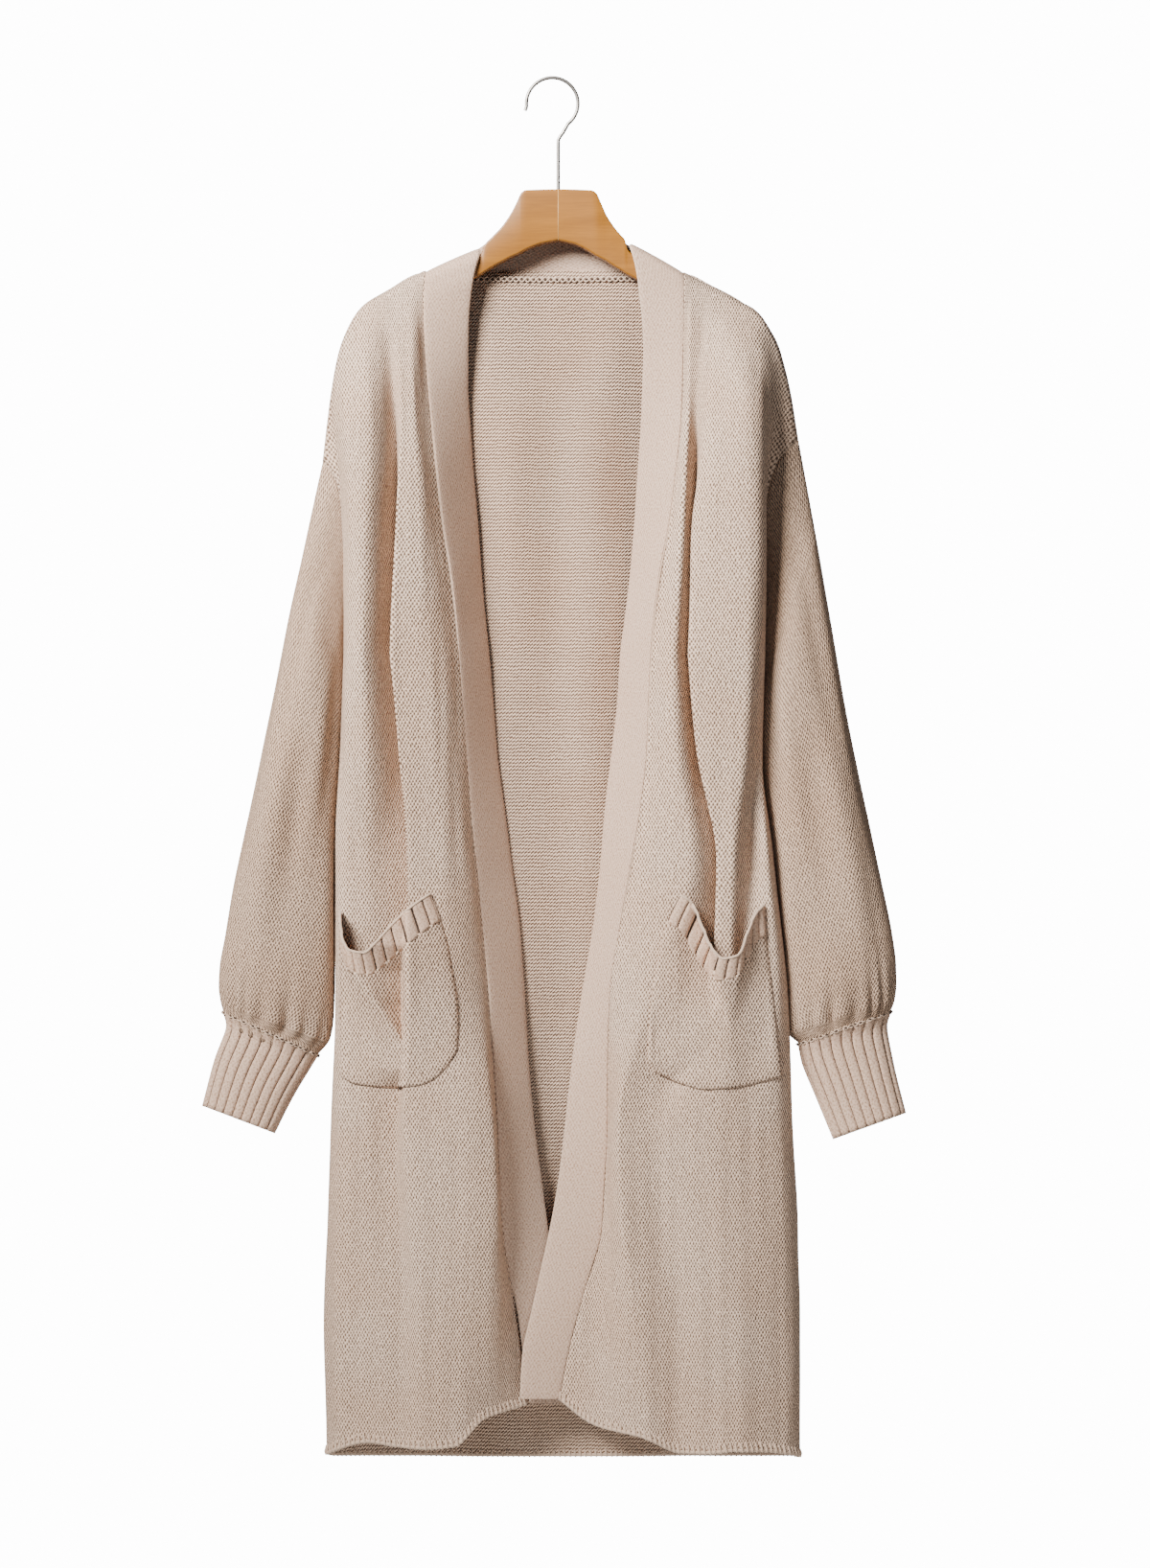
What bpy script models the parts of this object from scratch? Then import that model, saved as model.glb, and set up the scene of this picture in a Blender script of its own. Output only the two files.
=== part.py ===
"""Open-front duster cardigan hung on a two-part wooden hanger with a wire hook.

All tables are in millimetres. X runs to the viewer's right, Z up, and the front
faces -Y. The origin is the seat of the hook, the inside top of its bend.
The tables give each edge as it is seen from the front, VIEW_DISTANCE away, and
seen() draws the nearer points in toward the line of sight.
"""
import bpy
import math
import numpy as np

MM = 0.001
VIEW_DISTANCE = 4000.0
VIEW_AIM_X, VIEW_AIM_Z = 19.0, -588.0

CLOTH = 2.0          # wall of the knitted panels
BAND_WALL = 3.0      # the front band is knitted double
WOOD = 13.0          # thickness of the hanger
WIRE = 3.0           # diameter of the hook wire
UNDERARM = -480.0    # level where the armholes end and the side seams begin

for old in list(bpy.data.objects):
    bpy.data.objects.remove(old, do_unlink=True)

part = bpy.data.collections.new("duster_cardigan")
cutters = bpy.data.collections.new("cutters")
for made in (part, cutters):
    bpy.context.scene.collection.children.link(made)


# Helpers
def smooth(xs, ys, at):
    """Curve through the points (xs, ys) that never swings past them."""
    xs, ys, at = (np.asarray(a, float) for a in (xs, ys, at))
    step = np.diff(xs)
    rise = np.diff(ys) / step
    slope = np.zeros(len(xs))
    same = rise[:-1] * rise[1:] > 0
    w1, w2 = 2 * step[1:] + step[:-1], step[1:] + 2 * step[:-1]
    inner = np.zeros(len(rise) - 1)
    inner[same] = (w1 + w2)[same] / (w1[same] / rise[:-1][same] + w2[same] / rise[1:][same])
    slope[1:-1] = inner
    slope[0], slope[-1] = rise[0], rise[-1]
    at = np.clip(at, xs[0], xs[-1])
    i = np.clip(np.searchsorted(xs, at, "right") - 1, 0, len(step) - 1)
    h, t = step[i], (at - xs[i]) / step[i]
    return ((2 * t**3 - 3 * t**2 + 1) * ys[i] + (t**3 - 2 * t**2 + t) * h * slope[i]
            + (3 * t**2 - 2 * t**3) * ys[i + 1] + (t**3 - t**2) * h * slope[i + 1])


def seen(p):
    """Table points to true points: what is nearer the eye is drawn in."""
    p = np.array(p, float)
    near = 1.0 + p[..., 1] / VIEW_DISTANCE
    p[..., 0] = VIEW_AIM_X + (p[..., 0] - VIEW_AIM_X) * near
    p[..., 2] = VIEW_AIM_Z + (p[..., 2] - VIEW_AIM_Z) * near
    return p


def material(name, color, rough, metal=0.0, sheen=0.0):
    mat = bpy.data.materials.new(name)
    mat.use_nodes = True
    sockets = mat.node_tree.nodes["Principled BSDF"].inputs
    sockets["Base Color"].default_value = (*color, 1.0)
    sockets["Roughness"].default_value = rough
    sockets["Metallic"].default_value = metal
    sockets["Sheen Weight"].default_value = sheen
    return mat


def body(name, points, faces, mat, where=part):
    mesh = bpy.data.meshes.new(name)
    mesh.from_pydata((np.asarray(points) * MM).tolist(), [], faces)
    mesh.update()
    obj = bpy.data.objects.new(name, mesh)
    obj.data.materials.append(mat)
    where.objects.link(obj)
    return obj


def grid_faces(rows, cols, wrap=False, flip=False, start=0):
    faces = []
    for r in range(rows - 1):
        for c in range(cols if wrap else cols - 1):
            d = (c + 1) % cols
            face = (start + r * cols + c, start + r * cols + d,
                    start + (r + 1) * cols + d, start + (r + 1) * cols + c)
            faces.append(face[::-1] if flip else face)
    return faces


def sheet(name, grid, wall, mat, wrap=False, flip=False):
    """One cloth piece: a surface through the grid, given its wall by Solidify."""
    rows, cols = grid.shape[:2]
    obj = body(name, grid.reshape(-1, 3), grid_faces(rows, cols, wrap, flip), mat)
    mod = obj.modifiers.new("wall", "SOLIDIFY")
    mod.thickness = wall * MM
    mod.offset = 0.0
    mod.use_rim = True
    return obj


def double_wall(name, outer, inner, mat, wrap=False, flip=False):
    """Closed body between an outer grid that has ribs and a plain inner grid."""
    rows, cols = outer.shape[:2]
    n = rows * cols
    points = np.concatenate([outer.reshape(-1, 3), inner.reshape(-1, 3)])
    faces = grid_faces(rows, cols, wrap, flip) + grid_faces(rows, cols, wrap, not flip, n)
    rim = []
    for c in range(cols if wrap else cols - 1):
        d = (c + 1) % cols
        rim.append((c, c + n, d + n, d))
        last = (rows - 1) * cols
        rim.append((last + d, last + d + n, last + c + n, last + c))
    if not wrap:
        for r in range(rows - 1):
            a, b = r * cols, (r + 1) * cols
            rim.append((b, b + n, a + n, a))
            a, b = a + cols - 1, b + cols - 1
            rim.append((a, a + n, b + n, b))
    faces += [f[::-1] if flip else f for f in rim]
    return body(name, points, faces, mat)


def normals(grid, wrap=False):
    """Unit normals of a grid of points."""
    if wrap:
        across = np.roll(grid, -1, 1) - np.roll(grid, 1, 1)
    else:
        across = np.gradient(grid, axis=1)
    along = np.gradient(grid, axis=0)
    n = np.cross(across, along)
    return n / np.maximum(np.linalg.norm(n, axis=2, keepdims=True), 1e-9)


knit = material("beige_knit", (0.70, 0.60, 0.50), 0.9, sheen=0.3)
rib = material("beige_rib_knit", (0.68, 0.58, 0.48), 0.9, sheen=0.3)
wood = material("lacquered_wood", (0.55, 0.30, 0.13), 0.4)
steel = material("nickel_wire", (0.62, 0.60, 0.57), 0.3, metal=1.0)

# Front panels
# Each row of a table is one cross section; each pair is (x, y) of a named line
# that runs down the cloth. FALL rows lie between the shoulder line (0) and the
# underarm level (1); LEVEL rows lie below it, and the last is the hem.
RIGHT = {
    "lines": ("seam", "fold", "crest_c", "lip", "trough", "crest_a", "turn1", "turn2", "side"),
    "shoulder_z": (-161, -163.5, -168, -176, -180, -192, -223, -263, -319),
    "over_y": {0.0: (1, 1, 1, 1, 1, 1, 1, 1, 1),
               0.012: (-7.4, -7.4, -7.4, -7.4, -7.4, -7, -6, -4, -2.5),
               0.03: (-9.8, -9.8, -9.8, -10, -10, -10, -9, -7, -5)},
    "fall": {
        0.0: ((-107, 1), (-112, 1), (-122, 1), (-136, 1), (-143, 1), (-160, 1), (-176, 1),
              (-184, 1), (-190.5, 1)),
        0.1: ((-108, -12), (-111, -14), (-119, -18), (-131, -18), (-138, -17), (-158, -24),
              (-175, -22), (-181, -15), (-179, -9)),
        0.3: ((-105, -14), (-108, -19), (-116, -32), (-125, -32), (-132, -24), (-156, -44),
              (-172, -36), (-175, -24), (-174.5, -10)),
        0.65: ((-93, -14), (-98, -22), (-112, -42), (-130, -43), (-138, -20), (-159, -46),
               (-170, -36), (-173, -22), (-172.5, -11)),
        1.0: ((-79.5, -16), (-86, -25), (-104, -42), (-134, -46), (-139, -18), (-159, -46),
              (-170, -34), (-173, -14), (-172.5, -1))},
    "level": {
        -560: ((-73.5, -16), (-79, -24), (-98, -43), (-128, -47), (-133, -17), (-156, -40),
               (-172, -30), (-176.5, -13), (-176, -1)),
        -653: ((-65.5, -16), (-71, -24), (-92, -43), (-121.5, -47), (-127, -20), (-154, -32),
               (-173, -27), (-180.5, -12), (-180, -1)),
        -760: ((-55, -16), (-60, -25), (-86, -45), (-121, -48), (-127, -24), (-154, -32),
               (-173, -27), (-180.5, -12), (-180, -1)),
        -877: ((-47.5, -17), (-50, -43), (-85, -51), (-122, -48), (-130, -32), (-156, -35),
               (-177, -29), (-184, -12), (-184, -1)),
        -961: ((-43.2, -15.5), (-46, -43), (-80, -52), (-116, -50), (-128, -36), (-155, -36),
               (-179, -29), (-187, -12), (-187, -1)),
        -1029: ((-32.5, -14.5), (-48, -41), (-80, -51), (-108, -51), (-126, -40), (-155, -37),
                (-180, -29), (-189, -12), (-189, -1)),
        -1150: ((-23.5, -13), (-58, -39), (-82, -50), (-106, -51), (-128, -43), (-155, -38),
                (-178, -28), (-187, -12), (-187, -1))},
    "hem_z": (-1106, -1118, -1141, -1143, -1141, -1137.5, -1143, -1147, -1147),
}
LEFT = {
    "lines": ("seam", "hollow", "crest_d", "valley", "edge", "crest_e", "lip", "turn1",
              "turn2", "side"),
    "shoulder_z": (-162, -163.5, -165.5, -170.5, -173.5, -185, -197, -229, -264, -301),
    "over_y": {0.0: (1, 1, 1, 1, 1, 1, 1, 1, 1, 1),
               0.012: (-7.4, -7.4, -7.4, -7.4, -7.4, -7.4, -7, -6, -4, -2.5),
               0.03: (-9.8, -9.8, -9.8, -10, -10, -10, -10, -9, -7, -5)},
    "fall": {
        0.0: ((110.5, 1), (113.5, 1), (117, 1), (127, 1), (134, 1), (155, 1), (173.5, 1),
              (189.5, 1), (198.5, 1), (204.5, 1)),
        0.1: ((111, -12), (113, -13), (116, -15), (125, -15), (132, -18), (155, -25),
              (172.5, -26), (184, -20), (187, -13), (187, -8)),
        0.3: ((110, -14), (111.5, -17), (114.5, -22), (120, -21), (130, -30), (156, -48),
              (175, -42), (178, -30), (178.5, -18), (178, -9)),
        0.65: ((99.5, -14), (101.5, -22), (106, -36), (112, -17), (118, -35), (152, -50),
               (175, -42), (177, -28), (177, -16), (176.5, -9)),
        1.0: ((84, -14), (87, -24), (96, -39), (108, -15), (114, -43), (150, -50),
              (173, -38), (176.5, -26), (176.5, -12), (176, -1))},
    "level": {
        -560: ((80.5, -15), (84, -23), (96, -39), (115, -17), (120.5, -43), (150, -48),
               (169, -34), (174, -22), (174.5, -10), (174, -1)),
        -653: ((68, -15), (74, -24), (90, -39), (131, -21), (138, -41), (150, -43),
               (167, -23), (179, -33), (184.5, -13), (184.5, -1)),
        -760: ((50, -15), (56, -25), (70, -38), (122, -29), (132, -37), (150, -40),
               (169, -30), (187, -31), (196, -13), (196, -1)),
        -877: ((47, -17), (50, -27), (56, -41), (84, -38), (110, -42), (140, -44),
               (168, -38), (189, -31), (200, -12), (200, -1)),
        -961: ((42, -17), (47, -24), (60, -45), (92, -37), (118, -42), (145, -44),
               (172, -38), (193, -29), (204, -11), (204, -1)),
        -1029: ((23.5, -17), (40, -22), (69, -45), (104, -38), (128, -43), (150, -44),
                (175, -37), (195, -28), (206, -11), (206, -1)),
        -1150: ((6.5, -17), (34, -23), (78, -45), (106, -39), (130, -44), (152, -45),
                (176, -37), (196, -27), (206.5, -10), (206, -1))},
    "hem_z": (-1102, -1122, -1134.5, -1146, -1147, -1145, -1145, -1147, -1149, -1149),
}
ROWS_OVER = (0.0, 0.012, 0.03, 0.1, 0.2, 0.3, 0.46, 0.65, 0.83, 1.0)
ROWS_DOWN = (-520, -560, -606, -653, -706, -760, -818, -877, -961, -1029, -1090, -1150)


def stations_fall(table, fall):
    """x, y, z of the named lines at one fall between shoulder and underarm."""
    falls = sorted(table["fall"])
    xs = np.array([[p[0] for p in table["fall"][f]] for f in falls], float)
    rows_y = {**{f: [p[1] for p in table["fall"][f]] for f in falls}, **table["over_y"]}
    keys = sorted(rows_y)
    ys = np.array([rows_y[k] for k in keys], float)
    count = xs.shape[1]
    x = [float(smooth(falls, xs[:, i], fall)) for i in range(count)]
    y = [float(smooth(keys, ys[:, i], fall)) for i in range(count)]
    z = [(1 - fall) * s + fall * UNDERARM for s in table["shoulder_z"]]
    return np.array(x), np.array(y), np.array(z)


def stations_level(table, level):
    """The same below the underarm; the last level is carried to the hem."""
    rows = {UNDERARM: table["fall"][1.0], **table["level"]}
    keys = sorted(rows, reverse=True)
    down = [-k for k in keys]
    x = np.array([float(smooth(down, [rows[k][i][0] for k in keys], -level))
                  for i in range(len(table["lines"]))])
    y = np.array([float(smooth(down, [rows[k][i][1] for k in keys], -level))
                  for i in range(len(table["lines"]))])
    last, before = keys[-1], keys[-2]
    part_way = np.clip((before - level) / (before - last), 0, 1)
    z = level + part_way * (np.array(table["hem_z"], float) - last)
    return x, y, z


def across(stations, at):
    """Points along one cross section, at counted in lines from the seam."""
    lines = np.arange(len(stations[0]))
    return np.stack([smooth(lines, s, at) for s in stations], axis=-1)


def panel_grid(table, at):
    rows = [across(stations_fall(table, f), at) for f in ROWS_OVER]
    rows += [across(stations_level(table, z), at) for z in ROWS_DOWN]
    return np.array(rows)


AT_RIGHT = (0, 0.5, 1, 1.5, 2, 2.5, 3, 3.33, 3.66, 4, 4.33, 4.66, 5, 5.5, 6, 6.5, 7, 7.5, 8)
AT_LEFT = (0, 0.5, 1, 1.5, 2, 2.4, 2.8, 3, 3.4, 3.7, 4, 4.5, 5, 5.5, 6, 6.5, 7, 7.5, 8, 8.5, 9)
sheet("front_right", seen(panel_grid(RIGHT, AT_RIGHT)), CLOTH, knit, flip=True)
sheet("front_left", seen(panel_grid(LEFT, AT_LEFT)), CLOTH, knit)

# Back panel
# The top edge runs from one drop point over the shoulder, under the neck band
# and down to the other; lower rows spread evenly between the side seams.
BACK_TOP = (   # share of the width, x, y, z
    (0.00, -190.5, 2.9, -319), (0.05, -184, 2.9, -263), (0.10, -176, 2.9, -223),
    (0.16, -160, 2.9, -192), (0.22, -136, 2.9, -176), (0.285, -108, 3.1, -162.3),
    (0.31, -99, 12.6, -167.8), (0.40, -60, 15.9, -167.8), (0.50, 2, 17.6, -168.2),
    (0.60, 65, 15.9, -167.4), (0.69, 103, 12.6, -167.2), (0.715, 111.5, 3.1, -163.2),
    (0.78, 134, 2.9, -173.5), (0.84, 164, 2.9, -191), (0.90, 189.5, 2.9, -229),
    (0.95, 198.5, 2.9, -264), (1.00, 204.5, 2.9, -301),
)
BACK_DEPTH = (   # share of the width, y at the underarm, at the waist and at the hem
    (0.00, 1, 1, 1), (0.035, 14, 14, 13), (0.11, 27, 29, 27), (0.20, 23, 22, 30),
    (0.30, 30, 31, 34), (0.40, 25, 24, 27), (0.50, 29, 30, 33), (0.60, 24, 27, 29),
    (0.71, 31, 30, 25), (0.81, 24, 25, 31), (0.89, 28, 30, 28), (0.965, 14, 14, 13),
    (1.00, 1, 1, 1),
)
BACK_LEVELS = (UNDERARM, -800.0, -1150.0)
BACK_HEM = -1148.0


def back_depth(share, level):
    """Depth of the back cloth at a share of its width and a level."""
    cols = np.array(BACK_DEPTH)
    per_level = [smooth(cols[:, 0], cols[:, i + 1], share) for i in range(3)]
    down = [-z for z in BACK_LEVELS]
    return np.array([float(smooth(down, [p[i] for p in per_level], -level))
                     for i in range(len(share))])


def back_grid(share):
    share = np.asarray(share, float)
    top = np.array(BACK_TOP, float)
    line = np.stack([smooth(top[:, 0], top[:, i], share) for i in (1, 2, 3)], axis=-1)
    over = ((0.0, 0.0), (0.012, 0.55), (0.03, 0.8), (0.1, 1.0), (1.0, 1.0))
    rows = []
    for fall in ROWS_OVER:
        right, left = (stations_fall(t, fall) for t in (RIGHT, LEFT))
        low_x = right[0][-1] + (left[0][-1] - right[0][-1]) * share
        blend = min(1.0, fall * 3.0) ** 0.7
        x = line[:, 0] * (1 - blend) + low_x * blend
        x[0], x[-1] = right[0][-1], left[0][-1]
        clear = smooth([o[0] for o in over], [o[1] for o in over], fall)
        behind = np.maximum(line[:, 1], 2.4 + 10.5 * clear * np.sin(math.pi * share) ** 0.12)
        settle = min(1.0, fall * 1.5)
        y = behind * (1 - settle) + back_depth(share, UNDERARM) * settle
        for end, edge in ((0, right), (-1, left)):
            y[end] = 2.9 if fall == 0.0 else 1.0 if fall == 1.0 else 1.0 - edge[1][-1]
        z = line[:, 2] * (1 - fall) + UNDERARM * fall
        rows.append(np.stack([x, y, z], axis=-1))
    for level in ROWS_DOWN:
        right, left = (stations_level(t, level) for t in (RIGHT, LEFT))
        x = right[0][-1] + (left[0][-1] - right[0][-1]) * share
        y = back_depth(share, level)
        part_way = np.clip((-1029 - level) / 121.0, 0, 1)
        z = np.full(len(share), level + part_way * (BACK_HEM + 1150.0))
        z[0], z[-1] = right[2][-1], left[2][-1]
        rows.append(np.stack([x, y, z], axis=-1))
    return np.array(rows)


AT_BACK = np.array([0, 0.03, 0.07, 0.12, 0.17, 0.225, 0.285, 0.31, 0.36, 0.42, 0.50,
                    0.58, 0.64, 0.69, 0.715, 0.77, 0.82, 0.87, 0.92, 0.965, 1.0])
sheet("back", seen(back_grid(AT_BACK)), CLOTH, knit, flip=True)

# Front band
# One strip: up the front edge, over the shoulder, round the back neck and down
# the other side. Each row gives its inner edge and its linked outer edge.
BAND_RIGHT = (   # level of the row, inner x, y, outer x, y; from the hem upward
    (-1105, 10, -3, -18, -10), (-1065, 8, -3, -23.5, -11), (-1029, 4, -3.5, -28, -12),
    (-995, 0, -3.5, -36, -13.5), (-961, -4, -2, -41, -14.5), (-919, -9.5, 0, -44, -16),
    (-877, -15, 2, -45.5, -16.5), (-818, -20.5, 4, -49, -16), (-760, -24, 6, -52.5, -15.5),
    (-706, -28, 7, -58.5, -15.5), (-653, -35, 8, -63.5, -15.5), (-606, -41, 8, -68, -15.5),
    (-560, -47, 8, -72, -15.5), (-520, -50, 8, -75, -15.5), (-480, -53.5, 6, -78, -15.5),
    (-445, -57, 4, -81, -15), (-410, -60, 2, -85, -14.5), (-368, -63, 0, -91.5, -14),
    (-328, -66.5, -2, -96, -14), (-290, -69, -4, -100, -13.5), (-256, -71, -6, -103, -13.5),
    (-225, -71, -7, -105.5, -13), (-200, -70.5, -8, -106.5, -12.5), (-182, -69, -9, -106.5, -12),
)
BAND_LEFT = (
    (-1101, -26, -22, 5, -17), (-1065, -24, -22, 12, -17), (-1029, -16.5, -20, 21, -17),
    (-995, -9, -18, 31, -17), (-961, -1.5, -17, 40.5, -17), (-919, 6, -15, 43, -17),
    (-877, 11, -12, 45.5, -17), (-818, 17.5, -7, 46, -16), (-760, 26, 1, 48.5, -15),
    (-706, 35, 5, 56.8, -15), (-653, 41, 7, 66, -15), (-606, 45, 8, 74, -15),
    (-560, 50.5, 8, 79, -15), (-520, 55, 8, 80.5, -14.5), (-480, 57.5, 8, 82.5, -14),
    (-445, 62, 7, 85.5, -14), (-410, 66, 6, 90, -14), (-368, 69.5, 4, 98, -14),
    (-328, 72, 1.5, 103, -14), (-290, 74.5, -1, 107, -13.5), (-256, 76, -3, 108.5, -13.5),
    (-225, 77, -5, 109, -13), (-200, 76, -7, 109.5, -12.5), (-182, 74, -8.5, 109.5, -12),
)
BAND_OVER = (   # inner x, y, z, outer x, y, z: right shoulder, back neck, left shoulder
    (-66.5, -9.8, -165, -106.5, -10.5, -174), (-63.5, -9.6, -153, -106, -9.8, -168.5),
    (-61.5, -7.5, -146, -105.5, -7.5, -164.5), (-61.2, 0, -142, -105.3, 0, -161.6),
    (-61.5, 7.5, -146, -100.5, 9, -164.6), (-54, 11.5, -141.5, -97.5, 12.6, -167),
    (-44, 14, -139.5, -80, 14.6, -167), (-24, 15.5, -138.8, -42, 16.6, -167),
    (2, 16, -138.6, 2, 17.4, -167.5), (28, 15.5, -138.2, 46, 16.6, -167),
    (47, 14, -138, 84, 14.6, -166.5), (57, 11.5, -139, 101.5, 12.6, -166.2),
    (65.5, 7.5, -143, 104.3, 9, -163.8), (65.5, 0, -138, 109, 0, -162.4),
    (66, -7.5, -140, 109.3, -7.5, -165), (68.5, -9.6, -148, 109.5, -9.8, -168.5),
    (71.5, -9.8, -162, 109.5, -10.5, -174),
)


def band_grid(columns):
    edges = [((a, b, z), (c, d, z)) for z, a, b, c, d in BAND_RIGHT]
    edges += [(row[:3], row[3:]) for row in BAND_OVER]
    edges += [((a, b, z), (c, d, z)) for z, a, b, c, d in reversed(BAND_LEFT)]
    edges = np.array(edges, float)
    t = np.linspace(0, 1, columns)[None, :, None]
    return edges[:, :1] * (1 - t) + edges[:, 1:] * t


sheet("front_band", seen(band_grid(4)), BAND_WALL, rib, flip=True)

# Sleeves
# Rows give the outer and the inner edge of one ring and its half depth.
SLEEVE_RIGHT = (   # outer x, z, inner x, z, depth to the front, depth to the back
    (-209, -405, -176.5, -500, 22, 22), (-218, -445, -177, -515, 27, 27),
    (-228, -493, -178, -540, 30, 30), (-238, -541, -180.5, -575, 31, 31),
    (-250, -600, -183, -620, 31, 31), (-258, -637, -184.5, -655, 31, 31),
    (-266, -676, -184.5, -695, 31, 31), (-272, -715, -184.5, -735, 31, 31),
    (-276.5, -740, -184.5, -765, 30, 30), (-277.5, -757, -185, -785, 27, 27),
    (-276, -769, -186.5, -800, 23, 23), (-273.5, -778, -196, -813, 19, 19),
)
SLEEVE_LEFT = (
    (219, -382, 181, -500, 22, 22), (226, -422, 183.5, -515, 27, 27),
    (236, -475, 187, -545, 30, 30), (247, -536, 190.5, -585, 31, 31),
    (256, -582, 193.5, -615, 31, 31), (266, -630, 195, -655, 31, 31),
    (275, -674, 197, -695, 31, 31), (282.5, -712, 199.5, -735, 31, 31),
    (286, -738, 201, -762, 30, 30), (286.5, -755, 202, -780, 27, 27),
    (285, -768, 203, -795, 23, 23), (281.5, -777.5, 206.5, -804, 19, 19),
)
RING = 20   # points round a sleeve
# Lengthwise folds: turns round the sleeve, drift down its length, height
SLEEVE_FOLDS = ((3, 0.9, 2.2), (5, -1.3, 1.3))
GATHERS, GATHER_HEIGHT = 10, 1.4


def armhole(table, side):
    """Edge of the armhole from the drop point, down the front, up the back."""
    front, back = [], []
    for fall in (0.0, 0.03, 0.1, 0.2, 0.3, 0.42, 0.54, 0.65, 0.77, 0.89, 1.0):
        x, y, z = (s[-1] for s in stations_fall(table, fall))
        depth = 0.0 if fall in (0.0, 1.0) else -y
        front.append((x + side * (1.7 + fall), -depth * 0.88, z - 1.1))
        back.append((x + side * (1.7 + fall), depth * 0.88, z - 1.1))
    loop = np.array(front + back[-2:0:-1])
    steps = np.linalg.norm(np.diff(np.vstack([loop, loop[:1]]), axis=0), axis=1)
    run = np.concatenate([[0], np.cumsum(steps)])
    half = run[len(front) - 1]
    first = np.linspace(0, half, RING // 2 + 1)[:-1]
    second = np.linspace(half, run[-1], RING // 2 + 1)[:-1]
    at = np.concatenate([first, second])
    closed = np.vstack([loop, loop[:1]])
    return np.stack([np.interp(at, run, closed[:, i]) for i in range(3)], axis=-1)


def ring(row, count, squash=0.85):
    """Closed ring from the outer edge over the front to the inner edge and back."""
    ox, oz, ix, iz, front, back = row
    turn = 2 * math.pi * np.arange(count) / count
    c, s = np.cos(turn), np.sin(turn)
    c = np.sign(c) * np.abs(c) ** squash
    y = -np.where(s > 0, front, back) * np.sign(s) * np.abs(s) ** squash
    return np.stack([(ox + ix) / 2 + (ox - ix) / 2 * c, y, (oz + iz) / 2 + (oz - iz) / 2 * c], axis=-1)


def sleeve_grid(rows, table, side):
    rings = [ring(r, RING) for r in rows]
    first = armhole(table, side)
    head = [first * (1 - t) + rings[0] * t for t in (0.0, 0.33, 0.66)]
    grid = np.array(head + rings)
    turn = 2 * math.pi * np.arange(RING) / RING
    for i in range(len(rows)):
        down = i / (len(rows) - 1)
        swell = math.sin(math.pi * min(1.0, down * 1.15)) ** 0.7 if down * 1.15 < 1 else 0.0
        push = sum(h * np.cos(n * turn + drift * 2 * math.pi * down) for n, drift, h in SLEEVE_FOLDS)
        gather = GATHER_HEIGHT * np.cos(GATHERS * turn) * max(0.0, 1 - abs(down - 0.9) * 9)
        grid[i + 3, :, 1] *= 1 + (push * swell + gather) / 30.0
    return grid


sheet("sleeve_right", seen(sleeve_grid(SLEEVE_RIGHT, RIGHT, -1)), CLOTH, knit, wrap=True)
sheet("sleeve_left", seen(sleeve_grid(SLEEVE_LEFT, LEFT, 1)), CLOTH, knit, wrap=True, flip=True)

# Cuffs
CUFF_RIGHT = (   # outer x, z, inner x, z, half depth to the front and to the back
    (-273.2, -778.9, -196.9, -813.9, 18.6, 18.6), (-271, -790, -203, -824, 15, 15),
    (-281, -819, -218.5, -850, 14.2, 14.2),
    (-291, -857, -233, -879, 13.5, 13.5),
)
CUFF_LEFT = (
    (281.2, -778.4, 206.7, -804.9, 18.6, 18.6), (278.5, -791, 209.5, -819, 15, 15),
    (284, -822, 222, -850, 14.2, 14.2),
    (294, -863, 236, -884, 13.5, 13.5),
)
CUFF_RIBS, RIB_HEIGHT = 19, 0.9
RIB_SHAPE = (-1.0, 0.7, 0.7)   # three points a rib: the furrow, then the flat crest


def even_ring(row, count):
    """The ring again with its points an even way apart, so that ribs are even."""
    fine = ring(row, 240, squash=0.9)
    closed = np.vstack([fine, fine[:1]])
    run = np.concatenate([[0], np.cumsum(np.linalg.norm(np.diff(closed, axis=0), axis=1))])
    at = np.linspace(0, run[-1], count + 1)[:-1]
    return np.stack([np.interp(at, run, closed[:, i]) for i in range(3)], axis=-1)


def cuff(name, rows, side):
    count = CUFF_RIBS * len(RIB_SHAPE)
    middle = seen(np.array([even_ring(r, count) for r in rows]))
    out = normals(middle, wrap=True) * side
    height = 1.3 + RIB_HEIGHT * 0.6 * np.tile(RIB_SHAPE, CUFF_RIBS)
    outer = middle + out * height[None, :, None]
    inner = middle - out * 0.9
    double_wall(name, outer, inner, rib, wrap=True, flip=side < 0)


cuff("cuff_right", CUFF_RIGHT, -1)
cuff("cuff_left", CUFF_LEFT, 1)

# Pockets
# A patch is laid on the front panel: its own outline, the depth of the panel
# under it, and a belly where the cloth hangs away from the panel.
POCKET_RIGHT = {
    "mouth": ((-177, -695), (-175, -716), (-169, -727), (-158, -729), (-147, -720), (-136, -708),
              (-125, -697), (-112, -686.5), (-102, -680)),
    "bottom": ((-176, -832), (-165, -838), (-152, -840), (-139, -841), (-125, -841), (-113, -840),
               (-100, -835), (-88, -823), (-80, -810)),
    "inner_edge": ((0, 0), (0.15, 8), (0.35, 13), (0.6, 13), (0.8, 9), (1, 0)),
    "sag": (-0.55, 12.0),   # where the mouth hangs open most, and how far
}
POCKET_LEFT = {
    "mouth": ((107, -681), (117, -688), (126, -708), (133, -724), (143, -734), (155, -731),
              (163, -712), (170, -696), (176, -690)),
    "bottom": ((80, -820), (87, -829), (96, -833), (109, -838.5), (127, -843), (145, -842),
               (160, -840), (175, -837), (191, -832)),
    "inner_edge": ((0, 0), (0.15, -11), (0.35, -15), (0.6, -13), (0.8, -8), (1, 0)),
    "sag": (0.1, 13.0),
}
WELT = 21.0      # height of the ribbed mouth
LIFT = 2.6       # middle of the pocket cloth in front of the middle of the panel


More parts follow.
